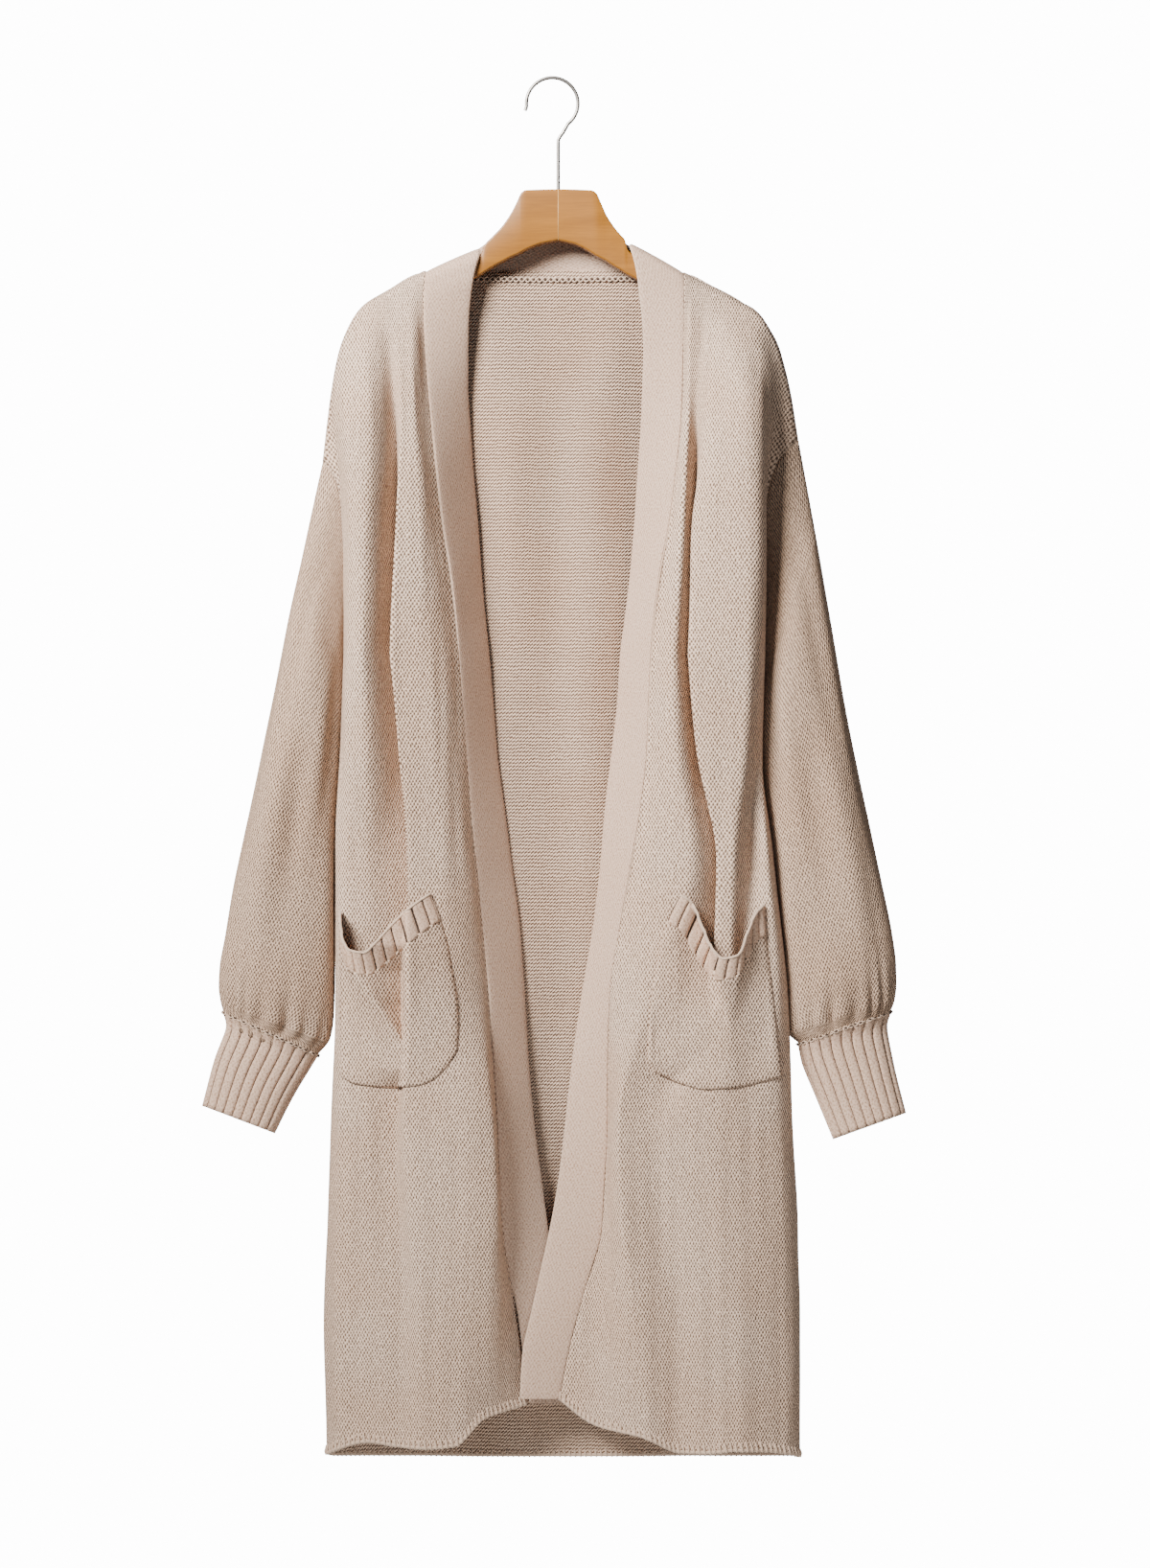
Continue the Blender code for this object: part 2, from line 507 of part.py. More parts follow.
def panel_depth(table, x, level):
    """Depth of the foremost panel cloth within a few millimetres of x."""
    s = across(stations_level(table, level), np.linspace(0, len(table["lines"]) - 1, 160))
    order = np.argsort(s[:, 0])
    near = np.linspace(-5, 5, 11)
    return min(float(np.interp(x + d, s[order, 0], s[order, 1])) for d in near)


def pocket_grid(table, pocket, columns, downs):
    """Points of the patch; downs run from the mouth (0) to the bottom (1)."""
    mouth, bottom = np.array(pocket["mouth"], float), np.array(pocket["bottom"], float)
    t = np.linspace(0, len(mouth) - 1, columns)
    k = np.arange(len(mouth))
    top = np.stack([smooth(k, mouth[:, i], t) for i in (0, 1)], axis=-1)
    low = np.stack([smooth(k, bottom[:, i], t) for i in (0, 1)], axis=-1)
    share = np.linspace(0, 1, columns)
    edge = np.array(pocket["inner_edge"], float)
    grid = np.zeros((len(downs), columns, 3))
    for r, down in enumerate(downs):
        bulge = float(smooth(edge[:, 0], edge[:, 1], down))
        near_seam = share if bulge > 0 else 1 - share
        x = top[:, 0] * (1 - down) + low[:, 0] * down + bulge * near_seam ** 2 * 0.55
        z = top[:, 1] * (1 - down) + low[:, 1] * down
        middle, reach = pocket["sag"]
        belly = np.sin(math.pi * share) ** 1.3 * (1 - down) ** 1.2 * reach
        belly *= 1 + 0.3 * np.cos(math.pi * (share * 2 - 1 - middle))
        for c in range(columns):
            y = panel_depth(table, x[c], z[c]) - LIFT
            grid[r, c] = (x[c], y - belly[c], z[c])
    return grid


def soften(grid, passes=2):
    """Level small steps inward of the edges, only ever toward the viewer."""
    for _ in range(passes):
        y = grid[..., 1].copy()
        y[:, 1:-1] = np.minimum(grid[:, 1:-1, 1], (grid[:, :-2, 1] + grid[:, 2:, 1]) / 2)
        grid[..., 1] = y
    return grid


def pocket(side, table, shape):
    depth = np.mean([b[1] - m[1] for m, b in zip(shape["mouth"], shape["bottom"])])
    welt_share = WELT / -depth
    body_downs = np.linspace(welt_share + 2.2 / -depth, 1, 8)
    grid = soften(pocket_grid(table, shape, 17, body_downs))
    sheet("pocket_" + side, seen(grid), CLOTH, knit, flip=True)
    ribs, per_rib = 11, len(RIB_SHAPE)
    columns = ribs * per_rib + 1
    grid = soften(pocket_grid(table, shape, columns, np.linspace(0, welt_share, 4)), 4)
    middle = seen(grid)
    out = normals(middle)
    out *= -np.sign(out[..., 1:2])
    height = 1.1 + RIB_HEIGHT * 0.5 * np.resize(RIB_SHAPE, columns)
    double_wall("pocket_rib_" + side, middle + out * height[None, :, None], middle - out * 0.8,
                rib, flip=True)


pocket("right", RIGHT, POCKET_RIGHT)
pocket("left", LEFT, POCKET_LEFT)

# Hanger
# Each half is lofted through upright sections; x, top and bottom of each.
HANGER_RIGHT = (
    (4.85, -92, -135), (-10, -92.3, -138), (-22, -92.8, -143), (-25.8, -95, -145), (-29.7, -103, -147),
    (-34.4, -112, -149), (-42, -123, -153), (-50, -131.5, -157.5), (-56.5, -138.5, -161.5),
    (-59.5, -146.5, -163.5), (-71, -152.5, -169), (-92, -160.5, -180), (-107, -167, -186.5), (-122, -173.5, -193),
    (-143, -185.5, -204), (-155, -193, -210), (-159, -198.5, -207.5),
)
HANGER_LEFT = (
    (5.15, -92, -135), (20, -92.3, -138.5), (33, -93, -145.5), (37, -95.5, -148), (41, -104, -150),
    (45, -113, -152), (51, -122.5, -156), (57, -130, -159.5), (60.5, -134, -162),
    (63, -142, -163.5), (74, -150.5, -169), (92, -160, -179), (109, -167.5, -187), (125, -174.5, -194),
    (146, -186, -205), (164, -197.5, -215), (168.5, -203, -212),
)
BORE_X, BORE_Z = 5.0, -113.5


def half_hanger(name, rows, flip):
    turn = 2 * math.pi * (np.arange(12) + 0.5) / 12
    c, s = np.cos(turn), np.sin(turn)
    y = np.sign(c) * np.abs(c) ** 0.5 * WOOD / 2
    up = np.sign(s) * np.abs(s) ** 0.5
    rings = []
    for i, (x, top, low) in enumerate(rows):
        slim = 0.75 if i == len(rows) - 1 else 1.0
        rings.append(np.stack([np.full(12, x), y * slim, (top + low) / 2 + (top - low) / 2 * up], axis=-1))
    grid = np.array(rings)
    last = (len(rows) - 1) * 12
    faces = grid_faces(len(rows), 12, True, flip)
    caps = [tuple(range(11, -1, -1)), tuple(last + i for i in range(12))]
    faces += [f[::-1] if flip else f for f in caps]
    obj = body(name, grid.reshape(-1, 3), faces, wood)
    cut = obj.modifiers.new("bore", "BOOLEAN")
    cut.operation, cut.solver, cut.object = "DIFFERENCE", "EXACT", bore
    return obj


bpy.ops.mesh.primitive_cylinder_add(vertices=20, radius=(WIRE / 2 + 0.4) * MM, depth=40 * MM,
                                    location=(BORE_X * MM, 0, (BORE_Z - 0.5 + 20) * MM))
bore = bpy.context.object
bore.name = "hook_bore"
for col in list(bore.users_collection):
    col.objects.unlink(bore)
cutters.objects.link(bore)
bore.hide_render, bore.display_type = True, "WIRE"

half_hanger("hanger_right", HANGER_RIGHT, True)
half_hanger("hanger_left", HANGER_LEFT, False)

# Hook
# The wire rises from the bore, bends over and ends in a slightly flared tip.
HOOK_CENTRE_Z, HOOK_RADIUS = -20.0, 21.5


def hook_path():
    points = [(BORE_X, BORE_Z), (BORE_X, -92), (BORE_X, -54), (5.2, -50.5), (6.8, -47.5), (9.0, -44.5)]
    start, end = math.radians(-52), math.radians(186)
    for i in range(19):
        a = start + (end - start) * i / 18
        points.append((HOOK_RADIUS * math.cos(a), HOOK_CENTRE_Z + HOOK_RADIUS * math.sin(a)))
    points.append((-22.6, -26.0))
    return points


curve = bpy.data.curves.new("hook", "CURVE")
curve.dimensions = "3D"
curve.bevel_depth = WIRE / 2 * MM
curve.bevel_resolution = 2
curve.use_fill_caps = True
spline = curve.splines.new("POLY")
path = hook_path()
spline.points.add(len(path) - 1)
for point, (x, z) in zip(spline.points, path):
    point.co = (x * MM, 0, z * MM, 1)
hook = bpy.data.objects.new("hook", curve)
hook.data.materials.append(steel)
part.objects.link(hook)
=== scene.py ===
# %% [markdown]
# # A knitted duster cardigan on its hanger
# This lesson dresses a plain measured model. All the tables below are in
# millimetres and give each edge as it is seen from the front, four metres away,
# so one helper draws the nearer points in toward the eye.

# %% The frame and the sizes that everything shares
import bpy
import math
import numpy as np
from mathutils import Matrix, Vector, noise


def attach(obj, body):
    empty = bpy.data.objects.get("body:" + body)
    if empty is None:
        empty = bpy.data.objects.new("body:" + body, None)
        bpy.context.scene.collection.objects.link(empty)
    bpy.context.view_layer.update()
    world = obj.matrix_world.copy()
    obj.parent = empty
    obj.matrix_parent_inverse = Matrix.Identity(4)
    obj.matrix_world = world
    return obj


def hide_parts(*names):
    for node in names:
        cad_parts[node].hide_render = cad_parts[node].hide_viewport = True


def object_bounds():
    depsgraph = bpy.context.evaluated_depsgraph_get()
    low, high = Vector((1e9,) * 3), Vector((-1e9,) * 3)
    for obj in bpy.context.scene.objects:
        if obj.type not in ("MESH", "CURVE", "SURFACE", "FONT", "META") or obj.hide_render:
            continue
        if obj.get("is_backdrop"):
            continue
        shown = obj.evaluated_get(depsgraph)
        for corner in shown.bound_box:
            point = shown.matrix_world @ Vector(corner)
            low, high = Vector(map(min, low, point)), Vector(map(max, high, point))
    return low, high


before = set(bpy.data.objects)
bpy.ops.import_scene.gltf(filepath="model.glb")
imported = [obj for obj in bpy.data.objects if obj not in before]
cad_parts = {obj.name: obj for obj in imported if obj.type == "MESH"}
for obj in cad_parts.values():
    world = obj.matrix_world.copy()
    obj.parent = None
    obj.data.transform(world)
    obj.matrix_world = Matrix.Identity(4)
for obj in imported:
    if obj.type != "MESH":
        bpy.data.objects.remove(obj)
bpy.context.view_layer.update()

MM = 0.001
VIEW_DISTANCE = 4000.0
VIEW_AIM_X, VIEW_AIM_Z = 19.0, -588.0
UNDERARM = -480.0      # level where the armholes end
CLOTH = 1.8            # wall of the panels as they are drawn
BAND_WALL = 3.0        # the band is knitted double
WALE = 2.75            # one knitted column
COURSE = 2.4           # one knitted row
SIDES = {"right": -1, "left": 1}    # as it is worn, so its right is at the viewer's left

# %% [markdown]
# The camera comes first, because the tables were measured from where it stands:
# straight in front, four metres off, level with the middle of the garment.

# %% The camera
IMAGE_W, IMAGE_H = 1200, 1636
FRAME_HEIGHT = IMAGE_H * 0.8   # what the picture spans at the garment, top to bottom
camera_data = bpy.data.cameras.new("camera")
camera_data.lens = camera_data.sensor_width * VIEW_DISTANCE / FRAME_HEIGHT
camera = bpy.data.objects.new("camera", camera_data)
camera.location = (VIEW_AIM_X * MM, -VIEW_DISTANCE * MM, VIEW_AIM_Z * MM)
camera.rotation_euler = (math.radians(90), 0, 0)
bpy.context.scene.collection.objects.link(camera)
bpy.context.scene.camera = camera
print("lens", round(camera_data.lens, 1), "mm")

# %% [markdown]
# The first helpers do the measuring. `smooth` draws a curve through table values
# that never swings past them, so a fold stays where it was measured. `seen` turns
# the points of the tables into true points.

# %% Helpers for curves and points
def smooth(xs, ys, at):
    """A curve through the values ys at the places xs, read at the places at."""
    xs, ys, at = (np.asarray(a, float) for a in (xs, ys, at))
    step = np.diff(xs)
    rise = np.diff(ys) / step
    slope = np.zeros(len(xs))
    same = rise[:-1] * rise[1:] > 0
    w1, w2 = 2 * step[1:] + step[:-1], step[1:] + 2 * step[:-1]
    inner = np.zeros(len(rise) - 1)
    inner[same] = (w1 + w2)[same] / (w1[same] / rise[:-1][same] + w2[same] / rise[1:][same])
    slope[1:-1] = inner
    slope[0], slope[-1] = rise[0], rise[-1]
    at = np.clip(at, xs[0], xs[-1])
    i = np.clip(np.searchsorted(xs, at, "right") - 1, 0, len(step) - 1)
    h, t = step[i], (at - xs[i]) / step[i]
    return ((2 * t**3 - 3 * t**2 + 1) * ys[i] + (t**3 - 2 * t**2 + t) * h * slope[i]
            + (3 * t**2 - 2 * t**3) * ys[i + 1] + (t**3 - t**2) * h * slope[i + 1])


def smooth_rows(rows, count):
    """Every column of a table drawn smooth through its rows, at an even count of places."""
    rows = np.array(rows, float)
    fine = np.linspace(0, len(rows) - 1, count)
    return np.stack([smooth(np.arange(len(rows)), column, fine) for column in rows.T], axis=-1)


def seen(points):
    """True points from points as they are seen: the nearer ones are drawn in to the eye."""
    points = np.array(points, float)
    near = 1.0 + points[..., 1] / VIEW_DISTANCE
    for axis, aim in ((0, VIEW_AIM_X), (2, VIEW_AIM_Z)):
        points[..., axis] = aim + (points[..., axis] - aim) * near
    return points


def unit(vectors):
    """The same directions, each one long."""
    return vectors / np.maximum(np.linalg.norm(vectors, axis=-1, keepdims=True), 1e-9)


def run_along(path):
    """How far along a path each of its points lies."""
    return np.concatenate([[0], np.cumsum(np.linalg.norm(np.diff(path, axis=0), axis=-1))])


def read_off(values, run, at):
    """Rows of values read off between their places on a run."""
    return np.stack([np.interp(at, run, column) for column in values.T], axis=-1)


def ease_in(count, steps):
    """0 at the first of count places, and 1 from so many steps on."""
    return np.clip(np.arange(count) / steps, 0, 1)


def grid_normals(grid, wrap=False):
    """Which way the cloth faces at each point of its grid."""
    across = np.roll(grid, -1, 1) - np.roll(grid, 1, 1) if wrap else np.gradient(grid, axis=1)
    return unit(np.cross(across, np.gradient(grid, axis=0)))


def uneven(grid, height, size_across, size_down, seed, wrap=False):
    """Push a cloth grid in and out by soft noise, as hung cloth is never even."""
    places = grid / (size_across, size_across, size_down) + (seed * 17.3, 0, 0)
    push = np.array([[noise.noise(Vector(p)) for p in row] for row in places])
    return grid + grid_normals(grid, wrap) * push[..., None] * height


# %% [markdown]
# Three helpers make the pieces. Each piece is a mesh from points in millimetres. A
# cloth is a grid of points with a wall, and carries its own knitted millimetres as
# a UV map. Strands are round tubes along paths, for all the yarn on the edges.

# %% Helpers that make the pieces
def keep(piece, node=None):
    """Every piece moves with the one body, and stands for its solid if it has one."""
    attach(piece, "root")
    if node:
        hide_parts(node)


def mesh_piece(name, points, faces, *materials):
    """A smooth mesh object from points in millimetres."""
    mesh = bpy.data.meshes.new(name)
    mesh.from_pydata((np.reshape(points, (-1, 3)) * MM).tolist(), [], faces)
    mesh.polygons.foreach_set("use_smooth", [True] * len(faces))
    for mat in materials:
        mesh.materials.append(mat)
    piece = bpy.data.objects.new(name, mesh)
    bpy.context.scene.collection.objects.link(piece)
    return piece


def cloth(name, grid, uv, wall, outside, inside, node, wrap=False, flip=False):
    """grid and uv are in millimetres; uv counts cloth along and down the knitting."""
    rows, cols = grid.shape[:2]
    faces, corners = [], []
    for r in range(rows - 1):
        for c in range(cols if wrap else cols - 1):
            marks = [(r, c), (r, c + 1), (r + 1, c + 1), (r + 1, c)][::-1 if flip else 1]
            faces.append([a * cols + b % cols for a, b in marks])
            corners += [uv[mark] for mark in marks]
    piece = mesh_piece(name, grid, faces, outside, inside)
    layer = piece.data.uv_layers.new(name="knit_mm")
    layer.data.foreach_set("uv", np.array(corners, float).ravel())
    shell = piece.modifiers.new("wall", "SOLIDIFY")
    shell.thickness, shell.offset, shell.use_rim, shell.material_offset = wall * MM, 0.0, True, 1
    keep(piece, node)
    print(name, "grid", rows, "x", cols)
    return piece


def tube_faces(rings, count, start=0):
    """Faces of a closed tube of rings, with a cap at either end."""
    corner = start + np.arange(rings * count).reshape(rings, count)
    near, far = corner[:-1], corner[1:]
    sides = np.stack([near, far, np.roll(far, -1, 1), np.roll(near, -1, 1)], axis=-1)
    return [*sides.reshape(-1, 4).tolist(), corner[0].tolist(), corner[-1, ::-1].tolist()]


def strands(name, runs, mat, sides=6):
    """One mesh of round strands: each run is its points in millimetres and its radius."""
    points, faces = [], []
    turn = 2 * math.pi * np.arange(sides)[:, None] / sides
    for path, radius in runs:
        path = np.asarray(path, float)
        along = unit(np.gradient(path, axis=0))
        side = unit(np.cross(along, (0.12, 1.0, 0.05)))    # a way that no strand runs
        up = np.cross(side, along)
        rings = path[:, None] + radius * (np.cos(turn) * side[:, None] + np.sin(turn) * up[:, None])
        faces += tube_faces(len(path), sides, len(points))
        points.extend(rings.reshape(-1, 3))
    piece = mesh_piece(name, points, faces, mat)
    keep(piece)
    return piece


def spaced(path, pitch):
    """Points an even way apart along a path, with their places and the path's on its run."""
    run = run_along(path)
    at = np.arange(pitch / 2, run[-1], pitch)
    return read_off(path, run, at), at, run


# %% [markdown]
# Knitting follows the cloth, so each piece is laid out flat in millimetres. A hung
# panel keeps its columns upright: they are counted level across, plus what the
# folds take up. A tube or the band is simply measured across and along.

# %% How the knitting is laid on the cloth
FOLD_TAKES = 1.8       # most cloth that one grid step may take up on the open front
SIDE_TAKES = 10.0      # and as much more on the way round to the side
TURN_STARTS, TURN_ENDS = 0.52, 0.64    # shares of the width; the second is at the last crest


def panel_uv(grid, start=0.0, side_turn=False):
    """Cloth counted level across from the first column, and straight down."""
    way = np.sign(grid[0, -1, 0] - grid[0, 0, 0])
    dx, dy = np.diff(grid[..., 0], axis=1) * way, np.diff(grid[..., 1], axis=1)
    share = np.linspace(0, 1, grid.shape[1])
    # from the last crest round to the side, all of the cloth is counted
    turning = np.clip((share[1:] - TURN_STARTS) / (TURN_ENDS - TURN_STARTS), 0, 1)
    taken = np.minimum(np.hypot(dx, dy) - dx, FOLD_TAKES + side_turn * SIDE_TAKES * turning)
    # what the folds take up is evened out down the cloth, so the columns run without a kink
    for _ in range(80):
        taken[1:-1] = (taken[:-2] + 2 * taken[1:-1] + taken[2:]) / 4
        taken[0], taken[-1] = taken[1], taken[-2]
    extra = np.pad(np.cumsum(taken, axis=1), ((0, 0), (1, 0)))
    if side_turn:    # the same in every row by the last crest, so the columns reach the side straight
        at_crest = extra[:, int(TURN_ENDS * len(share))][:, None]
        extra -= (at_crest - at_crest.mean()) * np.clip(share / TURN_ENDS, 0, 1)
    return np.stack([way * grid[..., 0] + start + extra, grid[..., 2]], axis=-1)


def loft_uv(grid, closed=False, way=-1):
    """Cloth counted across each row, once round if it is closed, and along its middle."""
    along = way * run_along(grid.mean(axis=1))
    if closed:
        grid = np.concatenate([grid, grid[:, :1]], axis=1)
    across = np.stack([run_along(row) for row in grid])
    return np.stack([across, np.repeat(along[:, None], grid.shape[1], axis=1)], axis=-1)


# %% [markdown]
# ## Finishes
# The yarn is a fine, softly brushed wool and cotton blend in undyed beige. What
# tells plain knitting from a flat cloth is its small V's: each column of loops is
# two slanted legs with a furrow between columns, and from a few steps away the lit
# legs read as small dots set like bricks. They are drawn from the cloth's own
# millimetres, so the knitting follows every fold. The back of the same knitting
# shows rows of rounded purl bumps instead.

# %% One function for colours and one that adds a node
def hex_linear(code):
    """sRGB hex colour to the linear numbers that the shader takes."""
    srgb = [int(code[i:i + 2], 16) / 255 for i in (1, 3, 5)]
    return (*(v / 12.92 if v <= 0.04045 else ((v + 0.055) / 1.055) ** 2.4 for v in srgb), 1.0)


def fill(node, *in_order, **by_name):
    """Fill sockets with numbers, hex colours or links; a node stands for its first output."""
    pairs = list(zip([socket for socket in node.inputs if socket.enabled], in_order))
    pairs += [(node.inputs[name.replace("_", " ")], value) for name, value in by_name.items()]
    for socket, value in pairs:
        if isinstance(value, bpy.types.Node):
            value = next(output for output in value.outputs if output.enabled)
        if isinstance(value, bpy.types.NodeSocket):
            node.id_data.links.new(value, socket)
        else:
            socket.default_value = hex_linear(value) if isinstance(value, str) else value


def add_node(tree, kind, *in_order, **named):
    """Add a node: names in small letters are its settings, all else fills its sockets."""
    node = tree.nodes.new("ShaderNode" + kind)
    for name in [name for name in named if name.islower()]:
        setattr(node, name, named.pop(name))
    fill(node, *in_order, **named)
    return node


def new_material(name, **sockets):
    """A material with its node tree and its shader, whose sockets start as given."""
    mat = bpy.data.materials.new(name)
    mat.use_nodes = True
    shader = mat.node_tree.nodes["Principled BSDF"]
    fill(shader, **sockets)
    return mat, mat.node_tree, shader

# %% [markdown]
# The knit material works in three steps: a height field for the loops, a colour
# with painted shade that darkens in the furrows and stays pale on the loops, and a
# bump from the same height. Soft noise makes the yarn a little uneven and the whole
# cloth a little patchy, and the sheen of the fine hairs lifts the edges.

# %% The knitted cloth, face side and purl side
# the furrow colours are painted shade: the dark between the loops, where little light gets
YARN_PALE, YARN_MID, YARN_FURROW_SHADE = "#E2C8B2", "#E8D0BA", "#46301F"
PURL_PALE, PURL_FURROW_SHADE = "#E0C5AE", "#4E3323"
# the sleeves' colours are painted a shade darker and warmer, for the shade they hang in at the sides
SLEEVE_SHADED_PALE, SLEEVE_SHADED_FURROW = "#CFB39B", "#3E2B20"
PURL_ROW = COURSE * 1.25    # purl bumps lie over one another, so fewer rows of them show
STRAY, SLIP = 1.6, 2.2    # how far in mm columns stray sideways, and loops up and down
FURROW_SHADE_SHOWS = 0.9     # how much of the painted furrow shade shows where the loops sink deepest


def loop_height(tree, face):
    """Height from 0 to 1 of knitted loops, from the cloth's own millimetres."""
    uv = add_node(tree, "UVMap", uv_map="knit_mm")
    place = add_node(tree, "SeparateXYZ", uv)
    # noise is scaled by the millimetre: 0.11 changes about every 9 mm, 0.3 about every 3 mm
    wobble = add_node(tree, "TexNoise", Vector=uv, Scale=0.11, Detail=1.0, noise_dimensions="2D")
    shift = add_node(tree, "Math", wobble, STRAY, -STRAY / 2, operation="MULTIPLY_ADD")
    across = add_node(tree, "Math", place.outputs[0], shift, operation="ADD")
    if face:
        # loops also sit a little high or low one by one, so no row is ruled straight
        jitter = add_node(tree, "TexNoise", Vector=uv, Scale=0.3, Detail=1.0, noise_dimensions="2D")
        slip = add_node(tree, "Math", jitter, SLIP, shift, operation="MULTIPLY_ADD")
        down = add_node(tree, "Math", place.outputs[1], -SLIP / 2, operation="ADD")
        down = add_node(tree, "Math", down, slip, operation="ADD")
        # the legs of the V's catch the light in turn, so loops read as dots set like bricks
        column = add_node(tree, "Math", across, 2 * math.pi / WALE, operation="MULTIPLY")
        row = add_node(tree, "Math", down, math.pi / COURSE, operation="MULTIPLY")
        column, row = (add_node(tree, "Math", n, operation="COSINE") for n in (column, row))
        wave = add_node(tree, "Math", column, row, operation="MULTIPLY")
    else:
        # rows of short bumps, each one leaning up to the right
        wale = add_node(tree, "Math", across, WALE, operation="DIVIDE")
        in_column = add_node(tree, "Math", wale, operation="FRACT")
        down = add_node(tree, "Math", place.outputs[1], shift, operation="ADD")
        row = add_node(tree, "Math", down, PURL_ROW, operation="DIVIDE")
        leaning = add_node(tree, "Math", in_column, -0.6, row, operation="MULTIPLY_ADD")
        turn = add_node(tree, "Math", leaning, 2 * math.pi, operation="MULTIPLY")
        wave = add_node(tree, "Math", turn, operation="COSINE")
    return add_node(tree, "Math", wave, 0.5, 0.5, operation="MULTIPLY_ADD"), uv


def knit_material(name, face, pale, furrow):
    mat, tree, shader = new_material(name, Roughness=0.92, Specular_IOR_Level=0.15, Sheen_Weight=0.12,
                                     Sheen_Tint=pale, Sheen_Roughness=0.5)
    loops, uv = loop_height(tree, face)
    # the hairs of the brushed yarn blur the loops here and there
    blur = add_node(tree, "TexNoise", Vector=uv, Scale=0.35, Detail=2.0, noise_dimensions="2D")
    height = add_node(tree, "Math", blur, 0.5, loops, operation="MULTIPLY_ADD")
    # painted shade: where the loops sink, the colour goes over to the dark furrow colour
    lit = add_node(tree, "MapRange", Value=height, From_Min=0.41, From_Max=0.95, To_Min=1 - FURROW_SHADE_SHOWS)
    yarn = add_node(tree, "Mix", lit, furrow, pale, data_type="RGBA")
    # the whole cloth is a little warmer in wide soft patches
    patch = add_node(tree, "TexNoise", Vector=uv, Scale=0.012, Detail=3.0, noise_dimensions="2D")
    warm = add_node(tree, "MapRange", Value=patch, From_Min=0.35, From_Max=0.65, To_Max=0.22)
    color = add_node(tree, "Mix", warm, yarn, YARN_MID, data_type="RGBA", blend_type="MULTIPLY")
    bump = add_node(tree, "Bump", Strength=1.0, Distance=0.7 * MM, Height=height)
    fill(shader, Base_Color=color, Normal=bump)
    return mat


knit_face = knit_material("knit_face", True, YARN_PALE, YARN_FURROW_SHADE)
knit_purl = knit_material("knit_purl", False, PURL_PALE, PURL_FURROW_SHADE)
# painted shade: the sleeves are the same yarn, coloured a shade darker and warmer for the less light that reaches
# them at the sides
knit_sleeve_painted_shade = knit_material("knit_sleeve_painted_shade", True, SLEEVE_SHADED_PALE, SLEEVE_SHADED_FURROW)
print("knit:", round(WALE, 2), "mm columns,", round(COURSE, 2), "mm rows")

# %% [markdown]
# The front band, the ribs and the cuffs are knitted tighter than the panels and
# have felted a little, so their loops nearly vanish: they read as a pale, even
# nap with a fine grain. Only a faint column line is left. Between two ribs the
# loops are drawn inward, where little light gets, so that furrow is darker. The
# linking thread is the same yarn laid in one smooth strand, a little paler.

# %% The band's felted double knit, the rib knit and the thread
NAP_GRAIN = 1.7        # size in mm of the felted nap's grain


def felted_material(name, pale, shade, columns):
    """columns: how strongly the knitted columns still show."""
    mat, tree, shader = new_material(name, Roughness=0.95, Specular_IOR_Level=0.12, Sheen_Weight=0.15,
                                     Sheen_Tint=pale, Sheen_Roughness=0.5)
    loops, uv = loop_height(tree, True)
    grain = add_node(tree, "TexNoise", Vector=uv, Scale=1 / NAP_GRAIN, Detail=3.0, Roughness=0.6,
                     noise_dimensions="2D")
    height = add_node(tree, "Math", loops, columns, grain, operation="MULTIPLY_ADD")
    lit = add_node(tree, "MapRange", Value=height, From_Min=0.3, From_Max=0.5 + columns)
    nap = add_node(tree, "Mix", lit, shade, pale, data_type="RGBA")
    patch = add_node(tree, "TexNoise", Vector=uv, Scale=0.02, Detail=2.0, noise_dimensions="2D")
    warm = add_node(tree, "Math", patch, 0.2, operation="MULTIPLY")
    color = add_node(tree, "Mix", warm, nap, YARN_MID, data_type="RGBA", blend_type="MULTIPLY")
    bump = add_node(tree, "Bump", Strength=0.45, Distance=0.5 * MM, Height=height)
    fill(shader, Base_Color=color, Normal=bump)
    return mat


def drawn_material(name, dark, pale, grain, strength, depth, **sockets):
    """A strand drawn out smooth, of yarn or of metal, with faint fine marks."""
    mat, tree, shader = new_material(name, **sockets)
    marks = add_node(tree, "TexNoise", Scale=grain, Detail=2.0)
    tone = add_node(tree, "Mix", marks, dark, pale, data_type="RGBA")
    bump = add_node(tree, "Bump", Strength=strength, Distance=depth * MM, Height=marks)
    fill(shader, Base_Color=tone, Normal=bump)
    return mat


band_knit = felted_material("felted_band_knit", "#CDB4A1", "#8F725E", 0.4)
rib_knit = felted_material("felted_rib_knit", "#D0B5A0", "#94755F", 0.2)
# painted shade: this dark finish stands for the shade in the sunk rib columns and in the eyes of the linking chains
furrow_shade_knit = felted_material("painted_furrow_shade_knit", "#453830", "#2B231F", 0.2)
thread = drawn_material("linking_yarn", "#A98B72", "#D9C3AE", 900.0, 0.3, 0.2, Roughness=0.85, Sheen_Weight=0.3)
print("band, rib and thread are ready")

# %% [markdown]
# The hanger is pale beech-like hardwood, stained honey brown under a satin clear
# lacquer. The grain runs along each arm, so each half's rings are stretched along
# its own arm, and the two halves meet in a joint that shows as a thin pale line.

